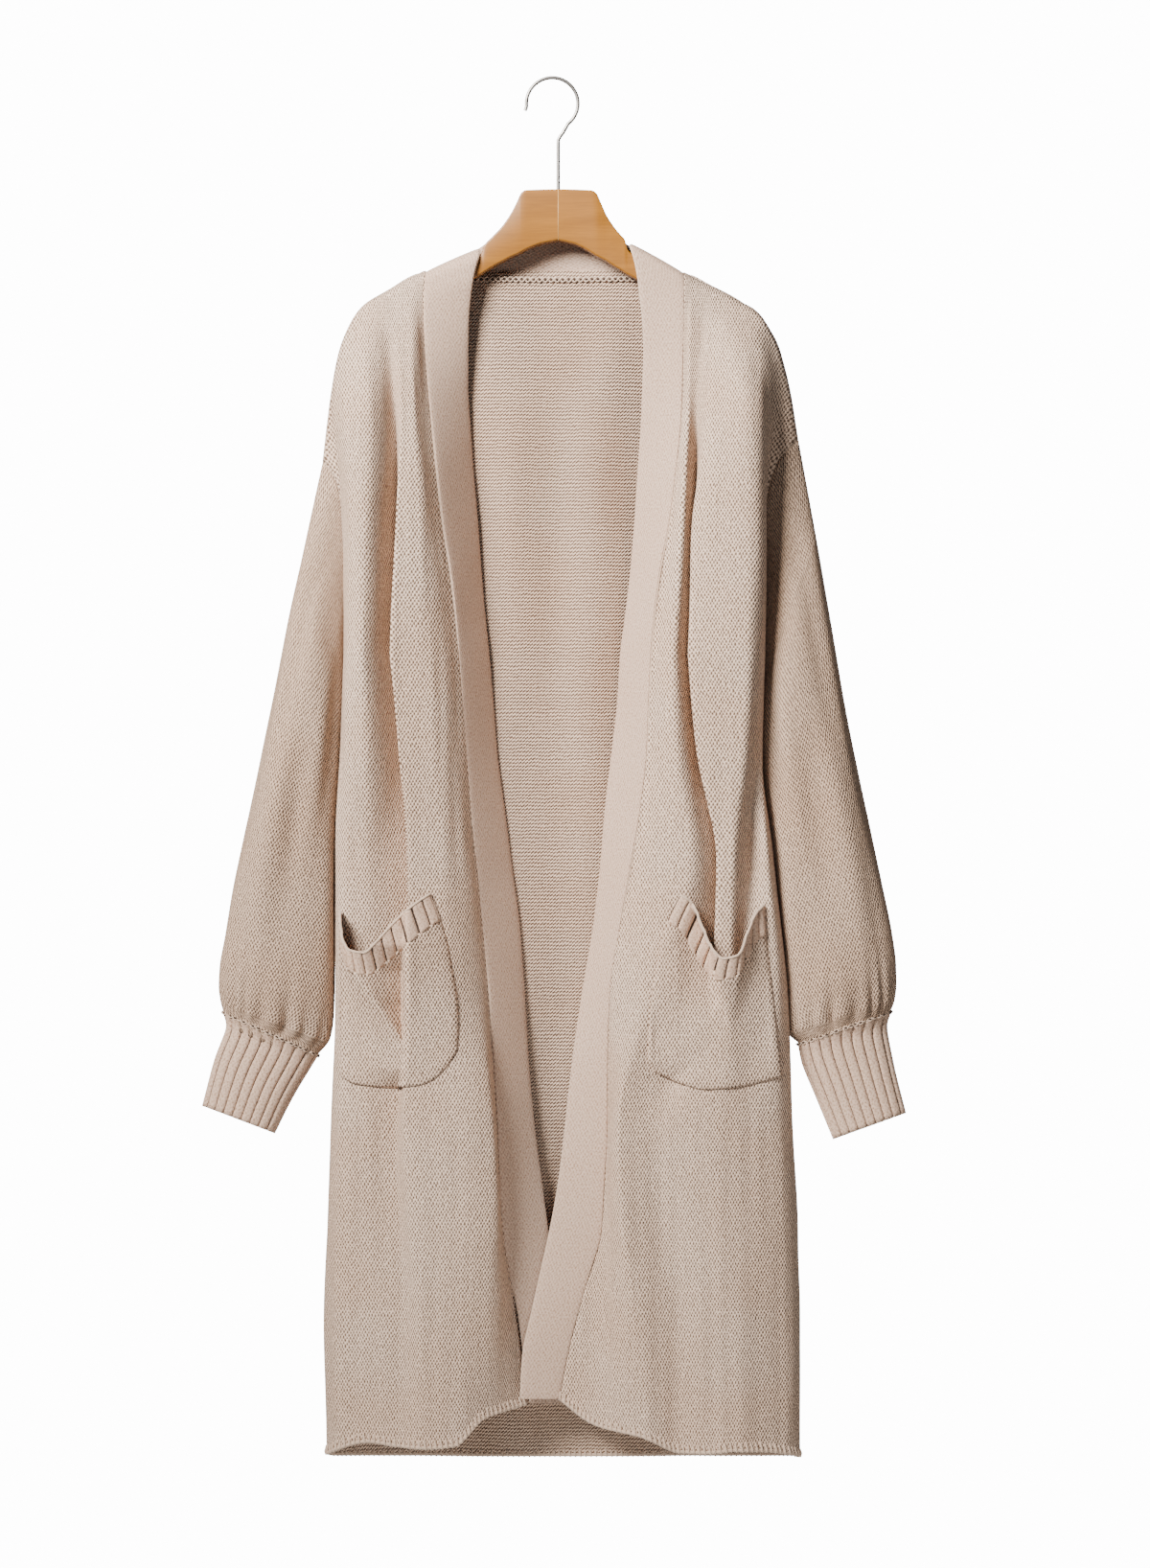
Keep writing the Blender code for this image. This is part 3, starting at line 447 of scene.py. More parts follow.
# %% Lacquered wood and plated wire
def wood_material(name, slope, dark="#85540F", pale="#98631B"):
    """slope: fall of the arm in degrees, so that the grain runs along it."""
    mat, tree, shader = new_material(name, Roughness=0.42, Coat_Weight=0.2, Coat_Roughness=0.25)
    place = add_node(tree, "TexCoord").outputs["Object"]
    # scaled by the metre: rings lie 11 to 17 mm apart across the arm, and pores about 1 mm
    rings, pores = (add_node(tree, "Mapping", Vector=place, Rotation=(0, math.radians(slope), 0), Scale=scale)
                    for scale in ((9.0, 60.0, 90.0), (60.0, 900.0, 1500.0)))
    rings = add_node(tree, "TexNoise", Vector=rings, Scale=1.0, Detail=4.0, Roughness=0.6, Distortion=0.6)
    pores = add_node(tree, "TexNoise", Vector=pores, Scale=1.0, Detail=2.0)
    tone = add_node(tree, "MapRange", Value=rings, From_Min=0.3, From_Max=0.7)
    honey = add_node(tree, "Mix", tone, dark, pale, data_type="RGBA")
    streak = add_node(tree, "MapRange", Value=pores, From_Min=0.35, From_Max=0.6, To_Min=0.88)
    color = add_node(tree, "Mix", 1.0, honey, streak, data_type="RGBA", blend_type="MULTIPLY")
    bump = add_node(tree, "Bump", Strength=0.08, Distance=0.2 * MM, Height=pores)
    fill(shader, Base_Color=color, Normal=bump)
    return mat


lacquered = {side: wood_material("lacquered_beech_" + side, 28 * sign) for side, sign in SIDES.items()}
glue_line = wood_material("glue_line", 0.0, "#C49A5E", "#D2AE78")
wire_metal = drawn_material("satin_nickel_wire", "#8A8782", "#A8A49E", 700.0, 0.1, 0.1, Roughness=0.4, Metallic=1.0)
print("wood and wire are ready")

# %% [markdown]
# ## The two front panels
# Each panel hangs from the shoulder in a few deep folds. It could be draped by
# simulation, but these folds were photographed, so they are given one by one: each
# table row is a cross section, and each pair is the place and depth of one named
# line that runs down the cloth, such as the crest of a fold or its lip.

# %% Fold tables of the front panels
RIGHT = {
    "lines": ("seam", "fold", "crest_c", "lip", "trough", "crest_a", "turn1", "turn2", "side"),
    "shoulder_z": (-161, -163.5, -168, -176, -180, -192, -223, -263, -319),
    "over_y": {0.0: (1, 1, 1, 1, 1, 1, 1, 1, 1),
               0.012: (-7.4, -7.4, -7.4, -7.4, -7.4, -7, -6, -4, -2.5),
               0.03: (-9.8, -9.8, -9.8, -10, -10, -10, -9, -7, -5)},
    "fall": {
        0.0: ((-107, 1), (-112, 1), (-122, 1), (-136, 1), (-143, 1), (-160, 1), (-176, 1),
              (-184, 1), (-190.5, 1)),
        0.1: ((-108, -12), (-111, -14), (-119, -18), (-131, -18), (-138, -17), (-158, -24),
              (-175, -22), (-181, -15), (-179, -9)),
        0.3: ((-105, -14), (-108, -19), (-116, -32), (-125, -32), (-132, -24), (-153, -44),
              (-172, -36), (-175, -24), (-174.5, -10)),
        0.65: ((-93, -14), (-98, -24), (-111, -41), (-130, -43), (-126, -6), (-156, -46),
               (-170, -36), (-173, -22), (-172.5, -11)),
        1.0: ((-79.5, -16), (-86, -27), (-103, -42), (-134, -46), (-127, -4), (-158, -46),
              (-170, -34), (-173, -14), (-172.5, -1))},
    "level": {
        -560: ((-73.5, -16), (-79, -27), (-97, -42), (-128, -47), (-120, -4), (-154, -41),
               (-172, -30), (-176.5, -13), (-176, -1)),
        -653: ((-65.5, -16), (-71, -27), (-91, -42), (-121.5, -47), (-113, -10), (-154, -27),
               (-173, -24), (-180.5, -12), (-180, -1)),
        -760: ((-55, -16), (-61, -27), (-85, -43), (-121, -48), (-113, -21), (-154, -25),
               (-173, -24), (-180.5, -12), (-180, -1)),
        -877: ((-47.5, -17), (-50, -43), (-85, -51), (-122, -48), (-130, -32), (-156, -35),
               (-177, -29), (-184, -12), (-184, -1)),
        -961: ((-43.2, -15.5), (-46, -43), (-80, -52), (-116, -50), (-128, -36), (-155, -36),
               (-179, -29), (-187, -12), (-187, -1)),
        -1029: ((-32.5, -14.5), (-48, -41), (-80, -51), (-108, -51), (-126, -40), (-155, -37),
                (-180, -29), (-189, -12), (-189, -1)),
        -1150: ((-23.5, -13), (-58, -39), (-82, -50), (-106, -51), (-128, -43), (-155, -38),
                (-178, -28), (-187, -12), (-187, -1))},
    "hem_z": (-1106, -1118, -1141, -1143, -1141, -1137.5, -1143, -1147, -1147),
}
LEFT = {
    "lines": ("seam", "hollow", "crest_d", "valley", "edge", "crest_e", "lip", "turn1",
              "turn2", "side"),
    "shoulder_z": (-162, -163.5, -165.5, -170.5, -173.5, -185, -197, -229, -264, -301),
    "over_y": {0.0: (1, 1, 1, 1, 1, 1, 1, 1, 1, 1),
               0.012: (-7.4, -7.4, -7.4, -7.4, -7.4, -7.4, -7, -6, -4, -2.5),
               0.03: (-9.8, -9.8, -9.8, -10, -10, -10, -10, -9, -7, -5)},
    "fall": {
        0.0: ((110.5, 1), (113.5, 1), (117, 1), (127, 1), (134, 1), (155, 1), (173.5, 1),
              (189.5, 1), (198.5, 1), (204.5, 1)),
        0.1: ((111, -12), (113, -13), (116, -15), (125, -15), (132, -18), (155, -25),
              (172.5, -26), (184, -20), (187, -13), (187, -8)),
        0.3: ((110, -14), (111.5, -17), (114.5, -22), (120, -21), (130, -30), (163, -48),
              (175, -42), (178, -30), (178.5, -18), (178, -9)),
        0.65: ((99.5, -14), (102, -23), (108.5, -36), (122, -5), (118, -36), (163, -50),
               (175, -42), (177, -28), (177, -16), (176.5, -9)),
        1.0: ((84, -14), (88, -24), (102, -40), (119, -4), (114, -43), (162, -49),
              (173, -38), (176.5, -26), (176.5, -12), (176, -1))},
    "level": {
        -560: ((80.5, -15), (85, -23), (105, -41), (126, -4), (120.5, -43), (158, -47),
               (169, -34), (174, -22), (174.5, -10), (174, -1)),
        -653: ((68, -15), (78, -25), (116, -41), (143, -9), (138, -41), (150, -43),
               (167, -23), (179, -33), (184.5, -13), (184.5, -1)),
        -760: ((50, -15), (58, -25), (84, -39), (140, -17), (135, -38), (147, -41),
               (160, -33), (187, -31), (196, -13), (196, -1)),
        -877: ((47, -17), (50, -27), (56, -41), (84, -38), (110, -42), (140, -44),
               (168, -38), (189, -31), (200, -12), (200, -1)),
        -961: ((42, -17), (47, -24), (60, -45), (92, -37), (118, -42), (145, -44),
               (172, -38), (193, -29), (204, -11), (204, -1)),
        -1029: ((23.5, -17), (40, -22), (69, -45), (104, -38), (128, -43), (150, -44),
                (175, -37), (195, -28), (206, -11), (206, -1)),
        -1150: ((6.5, -17), (34, -23), (78, -45), (106, -39), (130, -44), (152, -45),
                (176, -37), (196, -27), (206.5, -10), (206, -1))},
    "hem_z": (-1102, -1122, -1134.5, -1146, -1147, -1145, -1145, -1147, -1149, -1149),
}
FOLDS = {"right": RIGHT, "left": LEFT}

# %% From the tables to a fine grid
FINE_FALLS = np.concatenate([[0, 0.004, 0.008, 0.012, 0.02, 0.03, 0.05, 0.075], np.linspace(0.1, 1.0, 34)])
FINE_LEVELS = np.concatenate([np.linspace(-486, -1140, 82), [-1145, -1150]])
COLUMNS_A_LINE = 9     # grid columns for each named line of a table


def read_at(table, part, key):
    """One part of every pair in a table of rows, drawn smooth and read at one key."""
    keys = sorted(table)
    columns = np.array([[pair[part] for pair in table[k]] for k in keys], float).T
    return np.array([smooth(keys, column, key) for column in columns])


def stations_fall(table, fall):
    """x, y, z of the named lines at one fall between shoulder and underarm."""
    over = {key: [(0, y) for y in row] for key, row in table["over_y"].items()}
    z = [(1 - fall) * shoulder + fall * UNDERARM for shoulder in table["shoulder_z"]]
    return read_at(table["fall"], 0, fall), read_at({**table["fall"], **over}, 1, fall), np.array(z)


def stations_level(table, level):
    """The same below the underarm; the last level is carried to the hem."""
    rows = {-UNDERARM: table["fall"][1.0], **{-key: row for key, row in table["level"].items()}}
    before, last = sorted(rows)[-2:]
    part_way = np.clip((-level - before) / (last - before), 0, 1)
    z = level + part_way * (np.array(table["hem_z"], float) + last)
    return read_at(rows, 0, -level), read_at(rows, 1, -level), z


def across(stations, at):
    """Points along one cross section, at counted in lines from the seam."""
    return np.stack([smooth(np.arange(len(line)), line, at) for line in stations], axis=-1)


# %% [markdown]
# Knitted cloth that hangs is never quite even, so a slow soft noise, about a
# millimetre high, is laid over the measured folds before the wall is added.

# %% Build the front panels
def turned(level):
    """How far the band's inner edge is turned back, and its seam forward, at a level."""
    return np.interp(-level, (215, 320, 430, 620, 960, 1090), (0, 7.5, 6.5, 3.0, 1.5, 0))


def front_panel(side, sign):
    """One front from its table: the folds, soft noise, flutes and the wall."""
    table = FOLDS[side]
    at = np.linspace(0, len(table["lines"]) - 1, COLUMNS_A_LINE * len(table["lines"]))
    grid = np.array([across(stations_fall(table, fall), at) for fall in FINE_FALLS]
                    + [across(stations_level(table, level), at) for level in FINE_LEVELS])
    grid[..., 1] -= turned(grid[:, :1, 2]) * (1 - ease_in(len(at), 18))
    grid = uneven(seen(grid), 1.1, 26, 90, 3.5 + 1.5 * sign)
    # narrow flutes run down the cloth, flatter under the pocket and at the side
    flutes = uneven(grid, 1.2, 9, 170, 12 + sign) - grid
    shown = np.interp(-grid[..., 2:], (150, 230, 640, 670, 850, 880), (0, 1, 1, 0.2, 0.2, 1))
    grid += flutes * ease_in(len(at), 14)[::-1, None] * shown
    # one more column is tucked behind the band, so no gap shows
    grid = np.concatenate([grid[:, :1] + (-sign * 1.6, 1.2, 0), grid], axis=1)
    panel = cloth("front_panel_" + side, grid, panel_uv(grid, side_turn=True), CLOTH, knit_face, knit_purl,
                  "front_" + side, flip=sign > 0)
    return panel, grid


fronts, front_grids = {}, {}
for side, sign in SIDES.items():
    fronts[side], front_grids[side] = front_panel(side, sign)

# %% [markdown]
# ## The back panel
# The back hangs from both shoulders and the neck band. It can't be seen whole in
# the photograph, so its folds are quieter ones that answer those of the fronts.

# %% The back panel
BACK_TOP = (   # share of the width, x, y, z
    (0.00, -190.5, 2.9, -319), (0.05, -184, 2.9, -263), (0.10, -176, 2.9, -223),
    (0.16, -160, 2.9, -192), (0.22, -136, 2.9, -176), (0.285, -108, 3.1, -162.3),
    (0.31, -99, 12.6, -167.8), (0.40, -60, 15.9, -167.8), (0.50, 2, 17.6, -168.2),
    (0.60, 65, 15.9, -167.4), (0.69, 103, 12.6, -167.2), (0.715, 111.5, 3.1, -163.2),
    (0.78, 134, 2.9, -173.5), (0.84, 164, 2.9, -191), (0.90, 189.5, 2.9, -229),
    (0.95, 198.5, 2.9, -264), (1.00, 204.5, 2.9, -301),
)
BACK_DEPTH = (   # share of the width, y at the underarm, at the waist and at the hem
    (0.00, 1, 1, 1), (0.035, 14, 14, 13), (0.11, 27, 29, 27), (0.20, 23, 22, 30),
    (0.30, 30, 31, 34), (0.40, 25, 24, 27), (0.50, 29, 30, 33), (0.60, 24, 27, 29),
    (0.71, 31, 30, 25), (0.81, 24, 25, 31), (0.89, 28, 30, 28), (0.965, 14, 14, 13),
    (1.00, 1, 1, 1),
)
BACK_LEVELS = (UNDERARM, -800.0, -1150.0)
BACK_HEM = -1148.0
LOW_LEVEL, LAST_LEVEL = -1029.0, -1150.0    # below the first, rows are spread toward the hem
NECK_MIDDLE, NECK_HALF = 2.0, 101.0


def back_depth(share, level):
    """Depth of the back cloth at a share of its width and a level."""
    share_at, *depths = np.array(BACK_DEPTH).T
    per_level = np.array([smooth(share_at, depth, share) for depth in depths])
    down = [-z for z in BACK_LEVELS]
    return np.array([smooth(down, column, -level) for column in per_level.T])


def back_grid(share):
    """Rows of the back, between the two side seams that the fronts give."""
    share_at, *top = np.array(BACK_TOP, float).T
    top = [smooth(share_at, column, share) for column in top]
    over = ((0.0, 0.0), (0.012, 0.55), (0.03, 0.8), (0.1, 1.0), (1.0, 1.0))
    rows = []
    for fall in FINE_FALLS:
        right, left = (stations_fall(t, fall) for t in FOLDS.values())
        low_x = right[0][-1] + (left[0][-1] - right[0][-1]) * share
        blend = min(1.0, fall * 3.0) ** 0.7
        x = top[0] * (1 - blend) + low_x * blend
        x[0], x[-1] = right[0][-1], left[0][-1]
        clear = smooth(*zip(*over), fall)
        behind = np.maximum(top[1], 2.4 + 10.5 * clear * np.sin(math.pi * share) ** 0.12)
        settle = min(1.0, fall * 1.5)
        y = behind * (1 - settle) + back_depth(share, UNDERARM) * settle
        for end, edge in ((0, right), (-1, left)):
            y[end] = 2.9 if fall == 0.0 else 1.0 if fall == 1.0 else 1.0 - edge[1][-1]
        z = top[2] * (1 - fall) + UNDERARM * fall
        rows.append(np.stack([x, y, z], axis=-1))
    for level in FINE_LEVELS:
        right, left = (stations_level(t, level) for t in FOLDS.values())
        x = right[0][-1] + (left[0][-1] - right[0][-1]) * share
        y = back_depth(share, level)
        part_way = np.clip((LOW_LEVEL - level) / (LOW_LEVEL - LAST_LEVEL), 0, 1)
        z = np.full(len(share), level + part_way * (BACK_HEM - LAST_LEVEL))
        z[0], z[-1] = right[2][-1], left[2][-1]
        rows.append(np.stack([x, y, z], axis=-1))
    return np.array(rows)


# finer at the two corners of the neck, where the cloth turns sharply
back_share = np.concatenate([np.linspace(*span) for span in (
    (0, 0.27, 24), (0.28, 0.32, 8), (0.335, 0.68, 30), (0.69, 0.72, 6), (0.73, 1, 24))])
grid_back = uneven(seen(back_grid(back_share)), 1.2, 30, 110, 8.0)
grid_back[:, [0, -1], 1] -= 1.2
# the middle, which hangs free of the shoulders, lies a little nearer to the fronts
x, down = grid_back[..., 0], -grid_back[..., 2]
free = np.exp(-(x / 88) ** 4) * np.interp(down, (118, 165, 300, 1060, 1150), (0, 0.5, 1, 1, 0.4))
grid_back[..., 1] -= 11 * free
# under the neck band the cloth steps back and runs up behind it, so no light comes through
under_band = np.clip((NECK_HALF - np.abs(x[0] - NECK_MIDDLE)) / 6, 0, 1)[:, None]
tucked = [grid_back[0] + under_band * step for step in ((0, 3.2, 8.0), (0, 3.0, 2.0), (0, 2.6, 0.4), (0, 0.3, -1.2))]
tucked[3][:, 1] += (1 - under_band[:, 0]) * 0.05
grid_back = np.concatenate([tucked, grid_back[1:]])
back = cloth("back_panel", grid_back, panel_uv(grid_back, -200.0), CLOTH, knit_face, knit_purl, "back")

# %% [markdown]
# ## The front and neck band
# One long strip, knitted double and folded, is linked to the fronts and round the
# back neck. It turns in at mid height, which is why it looks narrower there. It is
# lofted from pairs of edge points, and a bevel rounds its edges.

# %% The band
BAND_RIGHT = (   # level of the row, inner x, y, outer x, y; from the hem upward
    (-1105, 10, -3, -18, -10), (-1065, 8, -3, -23.5, -11), (-1029, 4, -3.5, -28, -12),
    (-995, 0, -3.5, -36, -13.5), (-961, -4, -2, -41, -14.5), (-919, -9.5, 0, -44, -16),
    (-877, -15, 2, -45.5, -16.5), (-818, -20.5, 4, -49, -16), (-760, -24, 6, -52.5, -15.5),
    (-706, -28, 7, -58.5, -15.5), (-653, -35, 8, -63.5, -15.5), (-606, -41, 8, -68, -15.5),
    (-560, -47, 8, -72, -15.5), (-520, -50, 8, -75, -15.5), (-480, -53.5, 6, -78, -15.5),
    (-445, -57, 8, -81, -15), (-410, -60, 7.5, -85, -14.5), (-368, -63, 7, -91.5, -14),
    (-328, -66.5, 6, -96, -14), (-290, -69, 5, -100, -13.5), (-256, -71, 3, -103, -13.5),
    (-225, -71, 0, -105.5, -13), (-200, -70.5, -4, -106.5, -12.5), (-182, -69, -7, -106.5, -12),
)
BAND_LEFT = (
    (-1101, -26, -22, 5, -17), (-1065, -24, -22, 12, -17), (-1029, -16.5, -20, 21, -17),
    (-995, -9, -18, 31, -17), (-961, -1.5, -17, 40.5, -17), (-919, 6, -15, 43, -17),
    (-877, 11, -12, 45.5, -17), (-818, 17.5, -7, 46, -16), (-760, 26, 1, 48.5, -15),
    (-706, 35, 5, 56.8, -15), (-653, 41, 7, 66, -15), (-606, 45, 8, 74, -15),
    (-560, 50.5, 8, 79, -15), (-520, 55, 8, 80.5, -14.5), (-480, 57.5, 8, 82.5, -14),
    (-445, 62, 7, 85.5, -14), (-410, 66, 6, 90, -14), (-368, 69.5, 4, 98, -14),
    (-328, 72, 1.5, 103, -14), (-290, 74.5, -1, 107, -13.5), (-256, 76, -3, 108.5, -13.5),
    (-225, 77, -5, 109, -13), (-200, 76, -7, 109.5, -12.5), (-182, 74, -8.5, 109.5, -12),
)
BAND_OVER = (   # inner x, y, z, outer x, y, z: right shoulder, back neck, left shoulder
    (-66.5, -9.8, -165, -106.5, -10.5, -174), (-63.5, -9.6, -153, -106, -9.8, -168.5),
    (-61.5, -7.5, -146, -105.5, -7.5, -164.5), (-61.2, 0, -142, -105.3, 0, -161.6),
    (-61.5, 7.5, -146, -100.5, 9, -164.6), (-54, 11.5, -141.5, -97.5, 12.6, -167),
    (-44, 14, -139.5, -80, 14.6, -167), (-24, 15.5, -138.8, -42, 16.6, -167),
    (2, 16, -138.6, 2, 17.4, -167.5), (28, 15.5, -138.2, 46, 16.6, -167),
    (47, 14, -138, 84, 14.6, -166.5), (57, 11.5, -139, 101.5, 12.6, -166.2),
    (65.5, 7.5, -143, 104.3, 9, -163.8), (65.5, 0, -138, 109, 0, -162.4),
    (66, -7.5, -140, 109.3, -7.5, -165), (68.5, -9.6, -148, 109.5, -9.8, -168.5),
    (71.5, -9.8, -162, 109.5, -10.5, -174),
)


BAND_COLUMNS = 15      # points across the band
BAND_STEPS = 6         # grid rows for each row of the tables

rows = [(a, b, z, c, d, z) for z, a, b, c, d in BAND_RIGHT] + [*BAND_OVER]
rows += [(a, b, z, c, d, z) for z, a, b, c, d in reversed(BAND_LEFT)]
rows = smooth_rows(rows, (len(rows) - 1) * BAND_STEPS + 1)[:, None]
outward = np.linspace(0, 1, BAND_COLUMNS)
band_grid = rows[..., :3] * (1 - outward[:, None]) + rows[..., 3:] * outward[:, None]
# behind the wood the band stands up to the arch of the hanger
band_grid[..., 2] += 6.0 * np.clip((band_grid[..., 1] - 10) / 3, 0, 1) * (1 - outward)
band_grid[..., 1] += turned(band_grid[..., 2]) * (1 - 2 * outward)
band_grid = seen(band_grid)
# its middle swells a little, as folded cloth does
band_grid -= grid_normals(band_grid) * (0.9 * np.sin(np.pi * outward) ** 0.5 - 0.5)[:, None]
band = cloth("front_band_knit", band_grid, loft_uv(band_grid, way=1), BAND_WALL, band_knit, band_knit, "front_band")
soften = band.modifiers.new("rounded_edge", "BEVEL")
soften.width, soften.segments = 1.2 * MM, 3
soften.limit_method, soften.angle_limit = "ANGLE", math.radians(60)

# %% [markdown]
# ## Sleeves
# The sleeves are full and fall straight from dropped shoulders, then are gathered
# into the cuffs. Each is a loft of closed rings between an outer and an inner edge,
# and the first ring is the armhole itself.

# %% The sleeves
SLEEVES = {"right": (   # outer x, z, inner x, z, half depth
    (-209, -405, -173.8, -500, 22), (-218, -445, -174.3, -515, 27),
    (-228, -493, -175.6, -540, 30), (-238, -541, -177.6, -575, 31),
    (-250, -600, -180.5, -620, 31), (-258, -637, -181.6, -655, 31),
    (-266, -676, -182, -695, 31), (-272, -715, -182, -735, 31),
    (-276.5, -740, -182.3, -765, 30), (-277.5, -757, -183.5, -785, 27),
    (-276, -769, -186.5, -800, 23), (-273.5, -778, -196, -813, 19),
), "left": (
    (219, -382, 177.5, -500, 22), (226, -422, 176.5, -515, 27),
    (236, -475, 175.8, -545, 30), (247, -536, 178, -585, 31),
    (256, -582, 181.6, -615, 31), (266, -630, 186.3, -655, 31),
    (275, -674, 190.5, -695, 31), (282.5, -712, 195, -735, 31),
    (286, -738, 196.6, -762, 30), (286.5, -755, 196.4, -780, 27),
    (285, -768, 197.8, -795, 23), (281.5, -777.5, 206.5, -804, 19),
)}
# Lengthwise folds: turns round the sleeve, drift down its length, height
SLEEVE_FOLDS = ((3, 0.9, 3.0), (5, -1.3, 2.4), (9, 0.5, 1.1))


def armhole(side, sign):
    """The edge of a front from shoulder to underarm, and the back's edge up again."""
    front, rear = [], []
    for fall in np.linspace(0, 1, 41) ** 1.5:
        x, y, z = (line[-1] for line in stations_fall(FOLDS[side], fall))
        depth = 0.0 if fall in (0.0, 1.0) else -y * 0.9
        front.append((x + sign * 0.2, -depth, z - 0.2))
        rear.append((x + sign * 0.2, depth, z - 0.2))
    loop = np.array(front + rear[::-1][1:])
    run = run_along(loop)
    half = run[len(front) - 1]
    at = [np.linspace(*span, SLEEVE_POINTS // 2, endpoint=False) for span in ((0, half), (half, run[-1]))]
    return read_off(loop, run, np.concatenate(at))


def ring(row, count, squash=0.85):
    """An oval between an outer and an inner edge; less squash makes it boxier."""
    ox, oz, ix, iz, depth = row
    turn = 2 * math.pi * np.arange(count) / count
    c, s = (np.sign(v) * np.abs(v) ** squash for v in (np.cos(turn), np.sin(turn)))
    return np.stack([(ox + ix) / 2 + (ox - ix) / 2 * c, -depth * s, (oz + iz) / 2 + (oz - iz) / 2 * c], axis=-1)


SLEEVE_POINTS = 120    # points round a sleeve
# where each gather lies round the sleeve (0 outer, 0.5 inner), width, depth, length
PLEATS = ((0.07, 0.012, 2.6, 26), (0.125, 0.010, 3.4, 40), (0.165, 0.010, 3.0, 34), (0.215, 0.012, 2.2, 22),
          (0.275, 0.011, 3.6, 30), (0.335, 0.014, 2.0, 24), (0.40, 0.012, 1.8, 20), (0.46, 0.012, 2.0, 24),
          (0.55, 0.013, 2.4, 28), (0.62, 0.012, 3.0, 34), (0.69, 0.012, 2.2, 24), (0.76, 0.013, 3.2, 32),
          (0.84, 0.012, 2.4, 26), (0.92, 0.012, 2.8, 30))


def sleeve(side, sign):
    """Rings from the armhole to the cuff, with gathers and long soft folds."""
    rings = [ring(row, SLEEVE_POINTS) for row in smooth_rows(SLEEVES[side], 86)]
    first = armhole(side, sign)
    grid = np.array([first * (1 - t) + rings[0] * t for t in np.linspace(0, 1, 15)[:-1]] + rings)
    turn = np.arange(SLEEVE_POINTS) / SLEEVE_POINTS
    centre = grid.mean(axis=1, keepdims=True)
    along = run_along(centre[:, 0])[:, None]
    to_cuff, down = along[-1] - along, along / along[-1]
    push = np.zeros(grid.shape[:2])
    for where, width, deep, length in PLEATS:
        near = np.minimum(np.abs(turn - where), 1 - np.abs(turn - where))
        furrow = np.exp(-(near / (width * (1 + to_cuff / 40))) ** 2)
        beside = np.exp(-((near - 2.1 * width) / (width * 1.3)) ** 2)
        push += np.exp(-(to_cuff / length) ** 1.5) * (0.6 * beside - furrow) * deep * 1.4
    # the seam itself is stretched smooth over the cuff
    push *= np.clip(to_cuff / 9, 0.12, 1)
    for turns, lean, high in SLEEVE_FOLDS:
        swell = np.sin(math.pi * np.clip(down * 1.05, 0, 1)) ** 0.8
        push += swell * high * np.cos(2 * math.pi * (turns * turn + lean * down))
    # the pushes fade at the outer and inner edges, which the tables already place
    edge = np.abs(np.cos(2 * math.pi * turn))
    grid = seen(grid + unit(grid - centre) * (push * (1 - 0.55 * edge))[..., None])
    soft = uneven(grid, 1.6, 24, 120, 3.5 + 0.5 * sign, wrap=True)
    grid += (soft - grid) * ease_in(len(grid), 14)[:, None, None] * (1 - 0.8 * edge)[:, None]
    # the gathered end is sewn inside the top of the cuff
    inside = [grid[-1] + (centre[-1] - grid[-1]) * t + (centre[-1] - centre[-4]) * d
              for t, d in ((0.05, 0.5), (0.13, 1.1), (0.2, 2.2))]
    grid = np.concatenate([grid, inside])
    return cloth("sleeve_knit_" + side, grid, loft_uv(grid, closed=True), CLOTH, knit_sleeve_painted_shade, knit_purl,
                 "sleeve_" + side, wrap=True, flip=sign < 0)


sleeves = {side: sleeve(side, sign) for side, sign in SIDES.items()}

# %% [markdown]
# ## Ribs
# The cuffs and the pocket mouths are knitted in wide ribs: flat raised strips with
# a narrow sunk column between them. The strips are real relief: each piece is one
# grid pushed in along its furrows, and the wall is added to that as to any cloth.

# %% The cuffs
CUFFS = {"right": (   # outer x, z, inner x, z, half depth
    (-273.2, -778.9, -196.9, -813.9, 18.6), (-271, -790, -203, -824, 15),
    (-281, -819, -218.5, -850, 14.2),
    (-291, -857, -233, -879, 13.5),
), "left": (
    (281.2, -778.4, 206.7, -804.9, 18.6), (278.5, -791, 209.5, -819, 15),
    (284, -822, 222, -850, 14.2),
    (294, -863, 236, -884, 13.5),
)}
CUFF_RIBS = 19
RIB_STEPS = 10        # points across one rib
FURROW = 2.0          # how deep the sunk column lies
RIB_WALL = 1.6


def rib_profile(ribs):
    """0 on the flat of a rib, 1 at the bottom of the furrow."""
    phase = (np.arange(ribs * RIB_STEPS) / RIB_STEPS + 0.5) % 1.0 - 0.5
    return np.exp(-(phase / 0.13) ** 2)


def shade_furrows(piece, ribs_at):
    """Give the faces at the bottom of each furrow a dark finish, painted shade for the little light that gets there.
    """
    for _ in range(2):
        piece.data.materials.append(furrow_shade_knit)
    count = len(piece.data.polygons) // len(ribs_at)
    piece.data.polygons.foreach_set("material_index", np.tile(np.where(ribs_at > 0.4, 2, 0), count))


def even_ring(row, count):
    """The same oval, with its points an even way apart."""
    fine = ring(row, 400, squash=0.9)
    fine = np.vstack([fine, fine[:1]])
    run = run_along(fine)
    return read_off(fine, run, np.linspace(0, run[-1], count, endpoint=False))


def cuff(side, sign):
    """A ribbed tube; its furrows are sunk and carry a painted shade."""
    grid = seen([even_ring(row, CUFF_RIBS * RIB_STEPS) for row in smooth_rows(CUFFS[side], 30)])
    sunk = rib_profile(CUFF_RIBS)
    grid += grid_normals(grid, wrap=True) * sign * (1.0 - FURROW * sunk)[:, None]
    piece = cloth("cuff_rib_" + side, grid, loft_uv(grid, closed=True), RIB_WALL, rib_knit, rib_knit,
                  "cuff_" + side, wrap=True, flip=sign < 0)
    shade_furrows(piece, (sunk + np.roll(sunk, -1)) / 2)
    return piece, grid


cuffs, cuff_grids = {}, {}
for side, sign in SIDES.items():
    cuffs[side], cuff_grids[side] = cuff(side, sign)

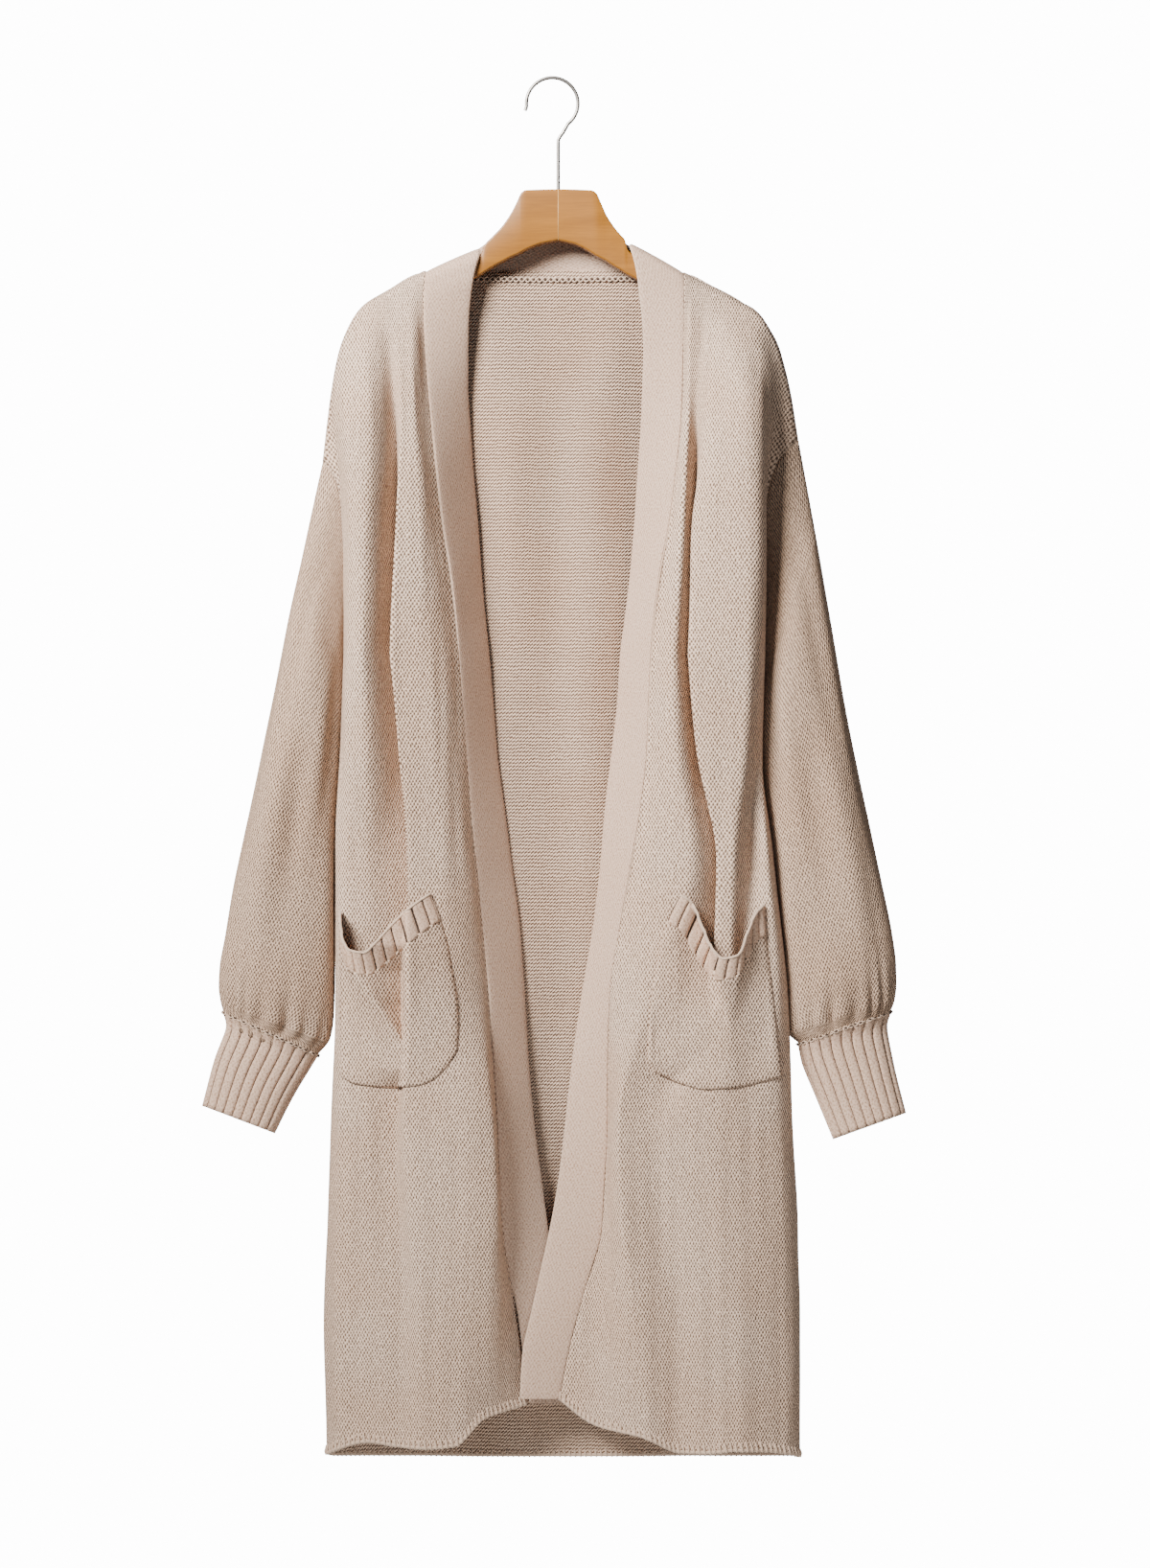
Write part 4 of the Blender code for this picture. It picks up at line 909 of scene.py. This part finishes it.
# %% [markdown]
# ## Pockets
# Two patches are sewn on flat at their sides and bottom, while the mouths hang open
# in a soft sag. Each is laid over the panel it sits on: the helper finds the
# foremost cloth near a point, so the patch bridges the narrow folds under it.

# %% The pocket patches and their ribbed mouths
POCKETS = {"right": {
    "mouth": ((-177, -695), (-175, -716), (-169, -727), (-158, -729), (-147, -720), (-136, -708),
              (-125, -697), (-112, -686.5), (-102, -680)),
    "bottom": ((-176, -832), (-165, -838), (-152, -840), (-139, -841), (-125, -841), (-113, -840),
               (-100, -835), (-88, -823), (-80, -810)),
    "inner_edge": ((0, 0), (0.15, 8), (0.35, 13), (0.6, 13), (0.8, 9), (1, 0)),
    "sag": (-0.55, 12.0),   # where the mouth hangs open most, and how far
}, "left": {
    "mouth": ((107, -681), (117, -688), (126, -708), (133, -724), (143, -734), (155, -731),
              (163, -712), (170, -696), (176, -690)),
    "bottom": ((80, -820), (87, -829), (96, -833), (109, -838.5), (127, -843), (145, -842),
               (160, -840), (175, -837), (191, -832)),
    "inner_edge": ((0, 0), (0.15, -11), (0.35, -15), (0.6, -13), (0.8, -8), (1, 0)),
    "sag": (0.1, 13.0),
}}
WELT = 21.0      # height of the ribbed mouth
LIFT = 2.6       # middle of the pocket cloth in front of the middle of the panel
CLEAR = 2.3      # the least that this distance may come to
POCKET_RIBS = 11
REACHES = {"near": 2, "wide": 5}    # millimetres to either side in which cloth is felt


def depth_map(table, reach):
    """Foremost cloth within reach, every millimetre across, where the pockets lie."""
    levels, xs = np.arange(-850, -670, 2.0), np.arange(-200, 215, 1.0)
    rows = []
    for level in levels:
        line = across(stations_level(table, level), np.linspace(0, len(table["lines"]) - 1, 160))
        order = np.argsort(line[:, 0])
        y = np.interp(xs, line[order, 0], line[order, 1])
        rows.append(np.min([np.roll(y, d) for d in range(-reach, reach + 1)], axis=0))
    return levels, xs, np.array(rows)


DEPTHS = {(side, name): depth_map(FOLDS[side], reach) for side in SIDES for name, reach in REACHES.items()}


def panel_depth(side, reach, x, level):
    """The foremost cloth within reach of one point, read off between two levels."""
    levels, xs, rows = DEPTHS[side, reach]
    k, t = divmod(np.clip((level - levels[0]) / 2, 0, len(levels) - 2), 1)
    return np.interp(x, xs, rows[int(k)]) * (1 - t) + np.interp(x, xs, rows[int(k) + 1]) * t


def depths_under(side, reach, x, z):
    """The panel's depth under every point of a grid."""
    return np.array([[panel_depth(side, reach, a, b) for a, b in zip(*rows)] for rows in zip(x, z)])


def hang(share, down, sag, across_power, down_power):
    """How far the patch hangs forward: most at the mouth, nothing at the seams."""
    middle, reach = sag
    lean = 1 + 0.3 * np.cos(math.pi * (share * 2 - 1 - middle))
    return np.sin(math.pi * share) ** across_power * (1 - down) ** down_power * reach * lean


def pocket_grid(side, columns, downs):
    """Points of the patch; downs run from the mouth (0) to the bottom (1)."""
    shape = POCKETS[side]
    top, low = (smooth_rows(shape[edge], columns) for edge in ("mouth", "bottom"))
    share, down = np.linspace(0, 1, columns), np.array(downs)[:, None]
    bulge = smooth(*zip(*shape["inner_edge"]), down)
    near_seam = np.where(bulge > 0, share, 1 - share)
    x = top[:, 0] * (1 - down) + low[:, 0] * down + bulge * near_seam ** 2 * 0.55
    z = top[:, 1] * (1 - down) + low[:, 1] * down
    y = depths_under(side, "wide", x, z) - LIFT - hang(share, down, shape["sag"], 1.3, 1.2)
    return np.stack([x, y, z], axis=-1)


def blend(low, high, x):
    """0 up to low, 1 from high on, and an easy curve between."""
    t = np.clip((x - low) / (high - low), 0, 1)
    return t * t * (3 - 2 * t)


# %% [markdown]
# Both pockets sag at the mouth, and the sag runs down the patch as a crease. On the
# viewer's left a diagonal ridge falls to the foot of the panel's deep fold, with a
# dark hollow behind it. On the right a narrow V points down between two hollows.

# %% The creases of the two patches
def crease_right(x, z, y):
    """Depth of the patch with the diagonal ridge; y is its depth without."""
    ridge = np.interp(-z, (680, 729, 742, 772, 803, 850), (-179, -173, -167, -146, -125, -124))
    crest = np.interp(-z, (680, 729, 760, 803, 850), (-39.0, -43.0, -46.0, -46.0, -42.0))
    deep = np.interp(-z, (722, 744, 775, 795, 806), (-45.0, -28.0, -24.0, -33.0, -44.0))
    before = -27.0 + (crest + 27.0) * np.clip((x + 181) / np.maximum(ridge + 181, 2), 0, 1)
    behind = crest + (deep - crest) * np.clip((x - ridge) / np.maximum(-123 - ridge, 3), 0, 1)
    return np.where(x < -122.5, np.where(x > ridge, behind, before), y)


def crease_left(x, z, y):
    """Depth of the patch with the narrow V; y is its depth without."""
    fade = 1 - blend(738, 802, -z)
    left = np.interp(-z, (690, 728, 795), (118, 134, 147.0))
    right = np.interp(-z, (690, 735, 795), (166, 158, 148.0))
    flat = np.interp(x, (90, 120, 147, 178), (-39.5, -41.5, -43.0, -35.0))
    flank = np.interp(x, (88, 105, 131), (-42.0, -40.0, -26.0))
    beyond = np.interp(x - right, (0, 9, 22), (-42.5, -37.0, -35.0))
    shaped = np.where(x < left, flank, np.where(x > right, beyond, -43.0))
    return np.where((x > 84) & (x < 182), shaped * fade + flat * (1 - fade), y)


CREASE = {"right": crease_right, "left": crease_left}


def place_patch(side, columns, downs):
    """Patch points laid clear of the panel, with the creases pressed in."""
    grid = pocket_grid(side, columns, downs)
    y = grid[..., 1]
    for _ in range(6):    # small steps are levelled, only ever toward the viewer
        y[:, 1:-1] = np.minimum(y[:, 1:-1], (y[:, :-2] + y[:, 2:]) / 2)
    x, z = grid[..., 0], grid[..., 2]
    share, drop = np.linspace(0, 1, columns), np.array(downs)[:, None]
    shaped = CREASE[side](x, z, y) - 0.75 * hang(share, drop, POCKETS[side]["sag"], 1.1, 2.2)
    # the sides are sewn down, and so is the bottom, so both follow the panel
    rim = np.minimum(np.minimum(share, 1 - share) * columns / 2.5, 1)
    sewn = np.clip((drop - 0.86) / 0.14, 0, 1) ** 1.5
    clear = depths_under(side, "near", x, z) - CLEAR
    shaped = np.minimum(clear * (1 - rim) + shaped * rim, clear)
    y[:] = shaped * (1 - sewn) + clear * sewn
    for _ in range(2):
        y[:, 1:-1] = (y[:, :-2] + 2 * y[:, 1:-1] + y[:, 2:]) / 4
    return grid


PATCH_COLUMNS, PATCH_ROWS, WELT_ROWS = 89, 60, 12


def pocket(side):
    """The patch, and the ribbed welt at its mouth."""
    depths = [mouth[1] - bottom[1] for mouth, bottom in zip(POCKETS[side]["mouth"], POCKETS[side]["bottom"])]
    welt_share = WELT / np.mean(depths)
    grid = place_patch(side, PATCH_COLUMNS, np.linspace(welt_share - 0.01, 1, PATCH_ROWS))
    grid = uneven(seen(grid), 0.6, 20, 40, 6.0)
    # the sewn edges are drawn down onto the panel
    across = np.arange(PATCH_COLUMNS)
    from_side, from_bottom = np.minimum(across, across[::-1]), np.arange(PATCH_ROWS)[::-1, None]
    grid[..., 1] += 1.3 * np.exp(-np.minimum(from_side / 3.5, from_bottom / 1.5))
    patch = cloth("pocket_patch_" + side, grid, grid[..., [0, 2]], CLOTH, knit_face, knit_purl,
                  "pocket_" + side, flip=True)
    welt = seen(place_patch(side, POCKET_RIBS * RIB_STEPS + 1, np.linspace(0, welt_share, WELT_ROWS)))
    out = grid_normals(welt)
    out *= -np.sign(out[..., 1:2])
    sunk = np.append(rib_profile(POCKET_RIBS), 0)
    # the furrows run out at the rolled edge of the mouth
    roll = np.exp(-(np.linspace(0, 1, WELT_ROWS) / 0.09) ** 2)[:, None]
    welt += out * (0.5 - FURROW * 0.9 * sunk * (1 - 0.7 * roll))[..., None]
    rib = cloth("pocket_rib_knit_" + side, welt, panel_uv(welt), RIB_WALL, rib_knit, rib_knit,
                "pocket_rib_" + side, flip=True)
    shade_furrows(rib, (sunk[1:] + sunk[:-1]) / 2)
    return patch, rib, welt


patches, pocket_ribs, welts = {}, {}, {}
for side in SIDES:
    patches[side], pocket_ribs[side], welts[side] = pocket(side)

# %% [markdown]
# ## Edges and seams
# Cut knitting would run, so every edge is finished. The hems are whipped: yarn wraps
# the edge again and again, in short slanted stitches a few millimetres apart. The
# mouths of the pockets end in a round cast-off rim, and the band is linked to the
# panels by a chain of loops. All of this yarn is real geometry, since light catches it.

# %% Whipped hems
HEM_PITCH, HEM_TALL = 4.4, 7.0


def whipped(name, grid, outward):
    """Roll and stitches along the last row of a panel grid; outward is -1 for fronts."""
    edge = grid[-1]
    rise = unit(grid[-2] - edge)
    n = grid_normals(grid)[-1]
    n *= outward * np.sign(n[:, 1:2] + 1e-9)
    runs = [(edge + rise, 1.8)]
    spots, at, run = spaced(edge, HEM_PITCH)
    for i, (spot, up, off) in enumerate(zip(spots, read_off(rise, run, at), read_off(n, run, at))):
        lean = np.cross(up, off) * 1.1 * outward
        tall = HEM_TALL + 0.8 * math.sin(i * 2.3)
        # how far up, off the cloth and aslant each point of one stitch lies
        stitch = ((tall, 0.6, 1), (tall - 1.6, 1.2, 0.7), (2.2, 2.1, 0), (-0.2, 1.5, -0.3), (-0.4, -1.2, 0),
                  (2.2, -1.9, 0.4), (tall - 2, -0.8, 1))
        runs.append(([spot + up * a + off * b + lean * c for a, b, c in stitch], 0.85))
    return strands(name, runs, thread)


hems = {side: whipped("hem_yarn_" + side, front_grids[side], -1) for side in SIDES}
hem_back = whipped("hem_yarn_back", grid_back, 1)

# %% Rims of the pocket mouths and the long seams
rims = {side: strands("pocket_rim_yarn_" + side, [(welts[side][0] + (0, -0.3, 0.3), 1.15)], thread, sides=8)
        for side in SIDES}
# the panels are joined by the same yarn over the shoulders, round the armholes and down the sides
panel_seams = {side: strands("panel_seam_yarn_" + side, [(grid[0], 1.1), (grid[:, -1], 0.9)], thread)
               for side, grid in front_grids.items()}
seam_ridges = strands("band_seam_yarn", [(band_grid[:, -1], 0.8), (band_grid[:, 0], 1.1)], thread)

# %% Chains of linking loops under the back neck band and round the cuffs
CHAIN_PITCH = 4.9


def chain(name, path, swing, radius, toward):
    """Two strands that cross each other along a path and leave eyes between them."""
    spots, at, _ = spaced(path, CHAIN_PITCH / 8)
    side = unit(np.cross(unit(np.gradient(spots, axis=0)), toward))
    turn = np.pi * at[:, None] / CHAIN_PITCH
    sway = side * np.sin(turn) * swing + np.array(toward, float) * np.cos(2 * turn) * 0.35
    return strands(name, [(spots + sway, radius), (spots - sway, radius)], thread)


def painted_eye_shade(name, path):
    """The eyes between the loops of a chain: short sunk marks of painted shade, as dark as the furrows, for the
    shadow in the open eyes.
    """
    spots = spaced(path, CHAIN_PITCH)[0]
    along = unit(np.gradient(spots, axis=0))
    return strands(name, [([a - b, a + b], 0.9) for a, b in zip(spots, along)], furrow_shade_knit)


neck = grid_back[4][np.abs(grid_back[4][:, 0] - NECK_MIDDLE) < NECK_HALF - 1]
neck_chain = chain("neck_linking_yarn", neck + (0, -2.2, 1.6), 1.9, 0.7, (0, -1, 0))
# the eyes are painted shade: dark marks for the shadow in the holes between the loops
neck_eye_shade = painted_eye_shade("neck_eye_painted_shade", neck + (0, -2.0, 1.6))
cuff_chains = {}
for side, grid in cuff_grids.items():
    loop = np.vstack([grid[0], grid[0][:1]])
    seam = loop + unit(loop - grid[0].mean(axis=0)) * 1.2
    cuff_chains[side] = (chain("cuff_linking_yarn_" + side, seam, 1.2, 0.5, (0, -1, 0.2)),
                         painted_eye_shade("cuff_eye_painted_shade_" + side, seam))

# %% [markdown]
# ## The hanger
# The solids have the right outline but coarse sides, so each half is lofted again
# with a flat front and back and a small round on every edge, as a router leaves it.

# %% The wooden halves
HALVES = {"right": (   # x, top, bottom
    (5.0, -92, -135), (-10, -92.3, -138), (-22, -92.8, -143), (-25.8, -95, -145), (-29.7, -103, -147),
    (-34.4, -112, -149), (-42, -123, -153), (-50, -131.5, -157.5), (-56.5, -138.5, -161.5),
    (-59.5, -146.5, -163.5), (-71, -152.5, -169), (-92, -160.5, -180), (-107, -167, -186.5), (-122, -173.5, -193),
    (-143, -185.5, -204), (-155, -193, -210), (-159, -198.5, -207.5),
), "left": (
    (5.0, -92, -135), (20, -92.3, -138.5), (33, -93, -145.5), (37, -95.5, -148), (41, -104, -150),
    (45, -113, -152), (51, -122.5, -156), (57, -130, -159.5), (60.5, -134, -162),
    (63, -142, -163.5), (74, -150.5, -169), (92, -160, -179), (109, -167.5, -187), (125, -174.5, -194),
    (146, -186, -205), (164, -197.5, -215), (168.5, -203, -212),
)}
WOOD_THICK = 12.6
EDGE_ROUND = 2.2
HALF_STEPS = 6         # rings for each row of the tables


def round_section(x, top, low, thick, steps=6):
    """Points of an upright rounded rectangle, counted round once."""
    points = []
    for cy, cz, start in ((1, 1, 0), (-1, 1, 90), (-1, -1, 180), (1, -1, 270)):
        for i in range(steps):
            a = math.radians(start + 90 * i / (steps - 1))
            points.append((x, cy * (thick / 2 - EDGE_ROUND) + EDGE_ROUND * math.cos(a),
                           (top - EDGE_ROUND if cz > 0 else low + EDGE_ROUND) + EDGE_ROUND * math.sin(a)))
    return points


def wooden_half(side, sign):
    """Loft one half from the joint to its tip, smooth but for its sawn ends."""
    rows = smooth_rows(HALVES[side], (len(HALVES[side]) - 1) * HALF_STEPS + 1)
    # the tip is shaped a little thinner
    thick = WOOD_THICK * (0.7 + 0.3 * np.sqrt(ease_in(len(rows), HALF_STEPS)[::-1]))
    grid = np.array([round_section(*row, t) for row, t in zip(rows, thick)])
    faces = tube_faces(*grid.shape[:2])
    if sign < 0:
        faces = [face[::-1] for face in faces]
    half = mesh_piece("hanger_half_" + side, grid, faces, lacquered[side])
    bpy.context.view_layer.objects.active = half
    half.select_set(True)
    bpy.ops.object.shade_smooth_by_angle(angle=math.radians(35))
    half.select_set(False)
    keep(half, "hanger_" + side)
    return half


halves = {side: wooden_half(side, sign) for side, sign in SIDES.items()}
strands("hanger_glue_line", [([(5, y, -92.4), (5, y, -134.6)], 0.32) for y in (-6.2, 6.2)], glue_line)
print("hanger halves", len(halves["right"].data.vertices), "points each")

# %% [markdown]
# The hook is one bent wire. A curve with a round bevel is the plain way to make it,
# and it is turned into a mesh only by Blender when it renders.

# %% The hook
BORE_X, BORE_Z = 5.0, -113.5
HOOK_CENTRE_Z, HOOK_RADIUS, WIRE = -20.0, 21.5, 3.0

# up the shank, round the neck of the hook, then round its arc to the tip
arc = np.radians(np.linspace(-52, 186, 61))
path = [(BORE_X, BORE_Z), (BORE_X, -92), (BORE_X, -54), (5.1, -50.5), (6.6, -47.6), (9.0, -44.5)]
path += list(zip(HOOK_RADIUS * np.cos(arc), HOOK_CENTRE_Z + HOOK_RADIUS * np.sin(arc))) + [(-22.6, -26.0)]
wire = bpy.data.curves.new("hook_wire", "CURVE")
wire.dimensions, wire.use_fill_caps = "3D", True
wire.bevel_depth, wire.bevel_resolution = WIRE / 2 * MM, 5
line = wire.splines.new("POLY")
line.points.add(len(path) - 1)
for point, (x, z) in zip(line.points, path):
    point.co = (x * MM, 0, z * MM, 1)
line.use_smooth = True
wire.materials.append(wire_metal)
hook = bpy.data.objects.new("hook_wire", wire)
bpy.context.scene.collection.objects.link(hook)
keep(hook, "hook")
print("hook", len(path), "points along the wire")

# %% [markdown]
# ## Studio
# A pale floor, a large soft key light high on the viewer's left, a weak fill from low
# in front, a weaker one from the right, a small one under the hem, and dim pale
# surroundings. The garment hangs before a light box far behind it, which gives the
# clean white ground of a catalogue picture without washing round the cloth's edges.

# %% Floor, light box and lights
FLOOR_Z = -1620.0
BOX_BEHIND = 14000.0   # from the garment to the light box
PAST_FRAME = 1.03      # the box is this much larger than what the camera sees of it
LAMPS = (   # name, place and aim in metres, size, power, colour, width of the beam in degrees
    ("key", (-1.85, -2.25, 1.4), (-0.14, 0, 0.04), 1.5, 54, "#FFFAF5", 50),
    ("front", (0.25, -3.6, -1.35), (0, 0, -0.75), 0.9, 8, "#F0F4FF", 180),
    ("side", (2.6, -1.3, -0.6), (0.15, 0, -0.6), 1.2, 2, "#FFFAF5", 70),
    ("hem", (0.1, -1.0, -1.5), (0, 0.03, -1.13), 0.4, 0.9, "#FFFAF5", 70),
)


def plain_sheet(name, corners, color, glow=0.0):
    """A flat sheet of the studio, lit or glowing."""
    mat = new_material(name, Roughness=0.9, Base_Color=color, Emission_Color="#FFFFFF", Emission_Strength=glow)[0]
    mesh_piece(name, corners, [(0, 1, 2, 3)], mat)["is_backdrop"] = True


high = FRAME_HEIGHT / 2 * (VIEW_DISTANCE + BOX_BEHIND) / VIEW_DISTANCE * PAST_FRAME
wide = high * IMAGE_W / IMAGE_H
square = ((-1, -1), (1, -1), (1, 1), (-1, 1))
plain_sheet("light_box", [(VIEW_AIM_X + wide * a, BOX_BEHIND, VIEW_AIM_Z + high * b) for a, b in square], "#FFFFFF",
            glow=14.0)
plain_sheet("floor", [(3000 * a, 2850 * b - 650, FLOOR_Z) for a, b in square], "#F2F0EC")
for name, place, aim, size, power, color, beam in LAMPS:
    data = bpy.data.lights.new(name, "AREA")
    data.shape, data.size, data.energy, data.spread = "SQUARE", size, power, math.radians(beam)
    data.color = hex_linear(color)[:3]
    lamp = bpy.data.objects.new(name, data)
    lamp.location = place
    lamp.rotation_euler = (Vector(aim) - Vector(place)).to_track_quat("-Z", "Y").to_euler()
    bpy.context.scene.collection.objects.link(lamp)
world = bpy.data.worlds.new("studio")
bpy.context.scene.world = world
world.use_nodes = True
fill(world.node_tree.nodes["Background"], Color="#E4ECFF", Strength=0.05)
print("studio ready:", len(LAMPS), "lamps")

# %% [markdown]
# ## Cloth sizes and the end
# Every sheet is given below with the flat size it was knitted to, round a tube
# where it is one, and what holds it, though `flat` keeps none of it.

def flat(piece, width, length, rests_on, share, *yarn):
    """Flat size in metres, and how much of that rectangle is cloth; flat uses none of them."""


both_arms = ["hanger_half_right", "hanger_half_left"]
for side, width in (("right", 0.245), ("left", 0.255)):
    flat(fronts[side], width, 0.985, ["hanger_half_" + side], 0.86, hems[side], panel_seams[side])
flat(back, 0.50, 0.985, both_arms, 0.84, hem_back)
flat(band, 0.041, 2.12, both_arms, 1.0, seam_ridges, neck_chain, neck_eye_shade)
for side in SIDES:
    flat(sleeves[side], 0.29, 0.47, ["front_panel_" + side], 0.80)
for side in SIDES:
    flat(cuffs[side], 0.19, 0.085, ["sleeve_knit_" + side], 1.0, *cuff_chains[side])
for side in SIDES:
    flat(patches[side], 0.115, 0.115, ["front_panel_" + side], 1.0)
for side in SIDES:
    flat(pocket_ribs[side], 0.13, 0.022, ["pocket_patch_" + side], 1.0, rims[side])

low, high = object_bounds()
print("visual box", [round(v, 3) for v in low], [round(v, 3) for v in high])
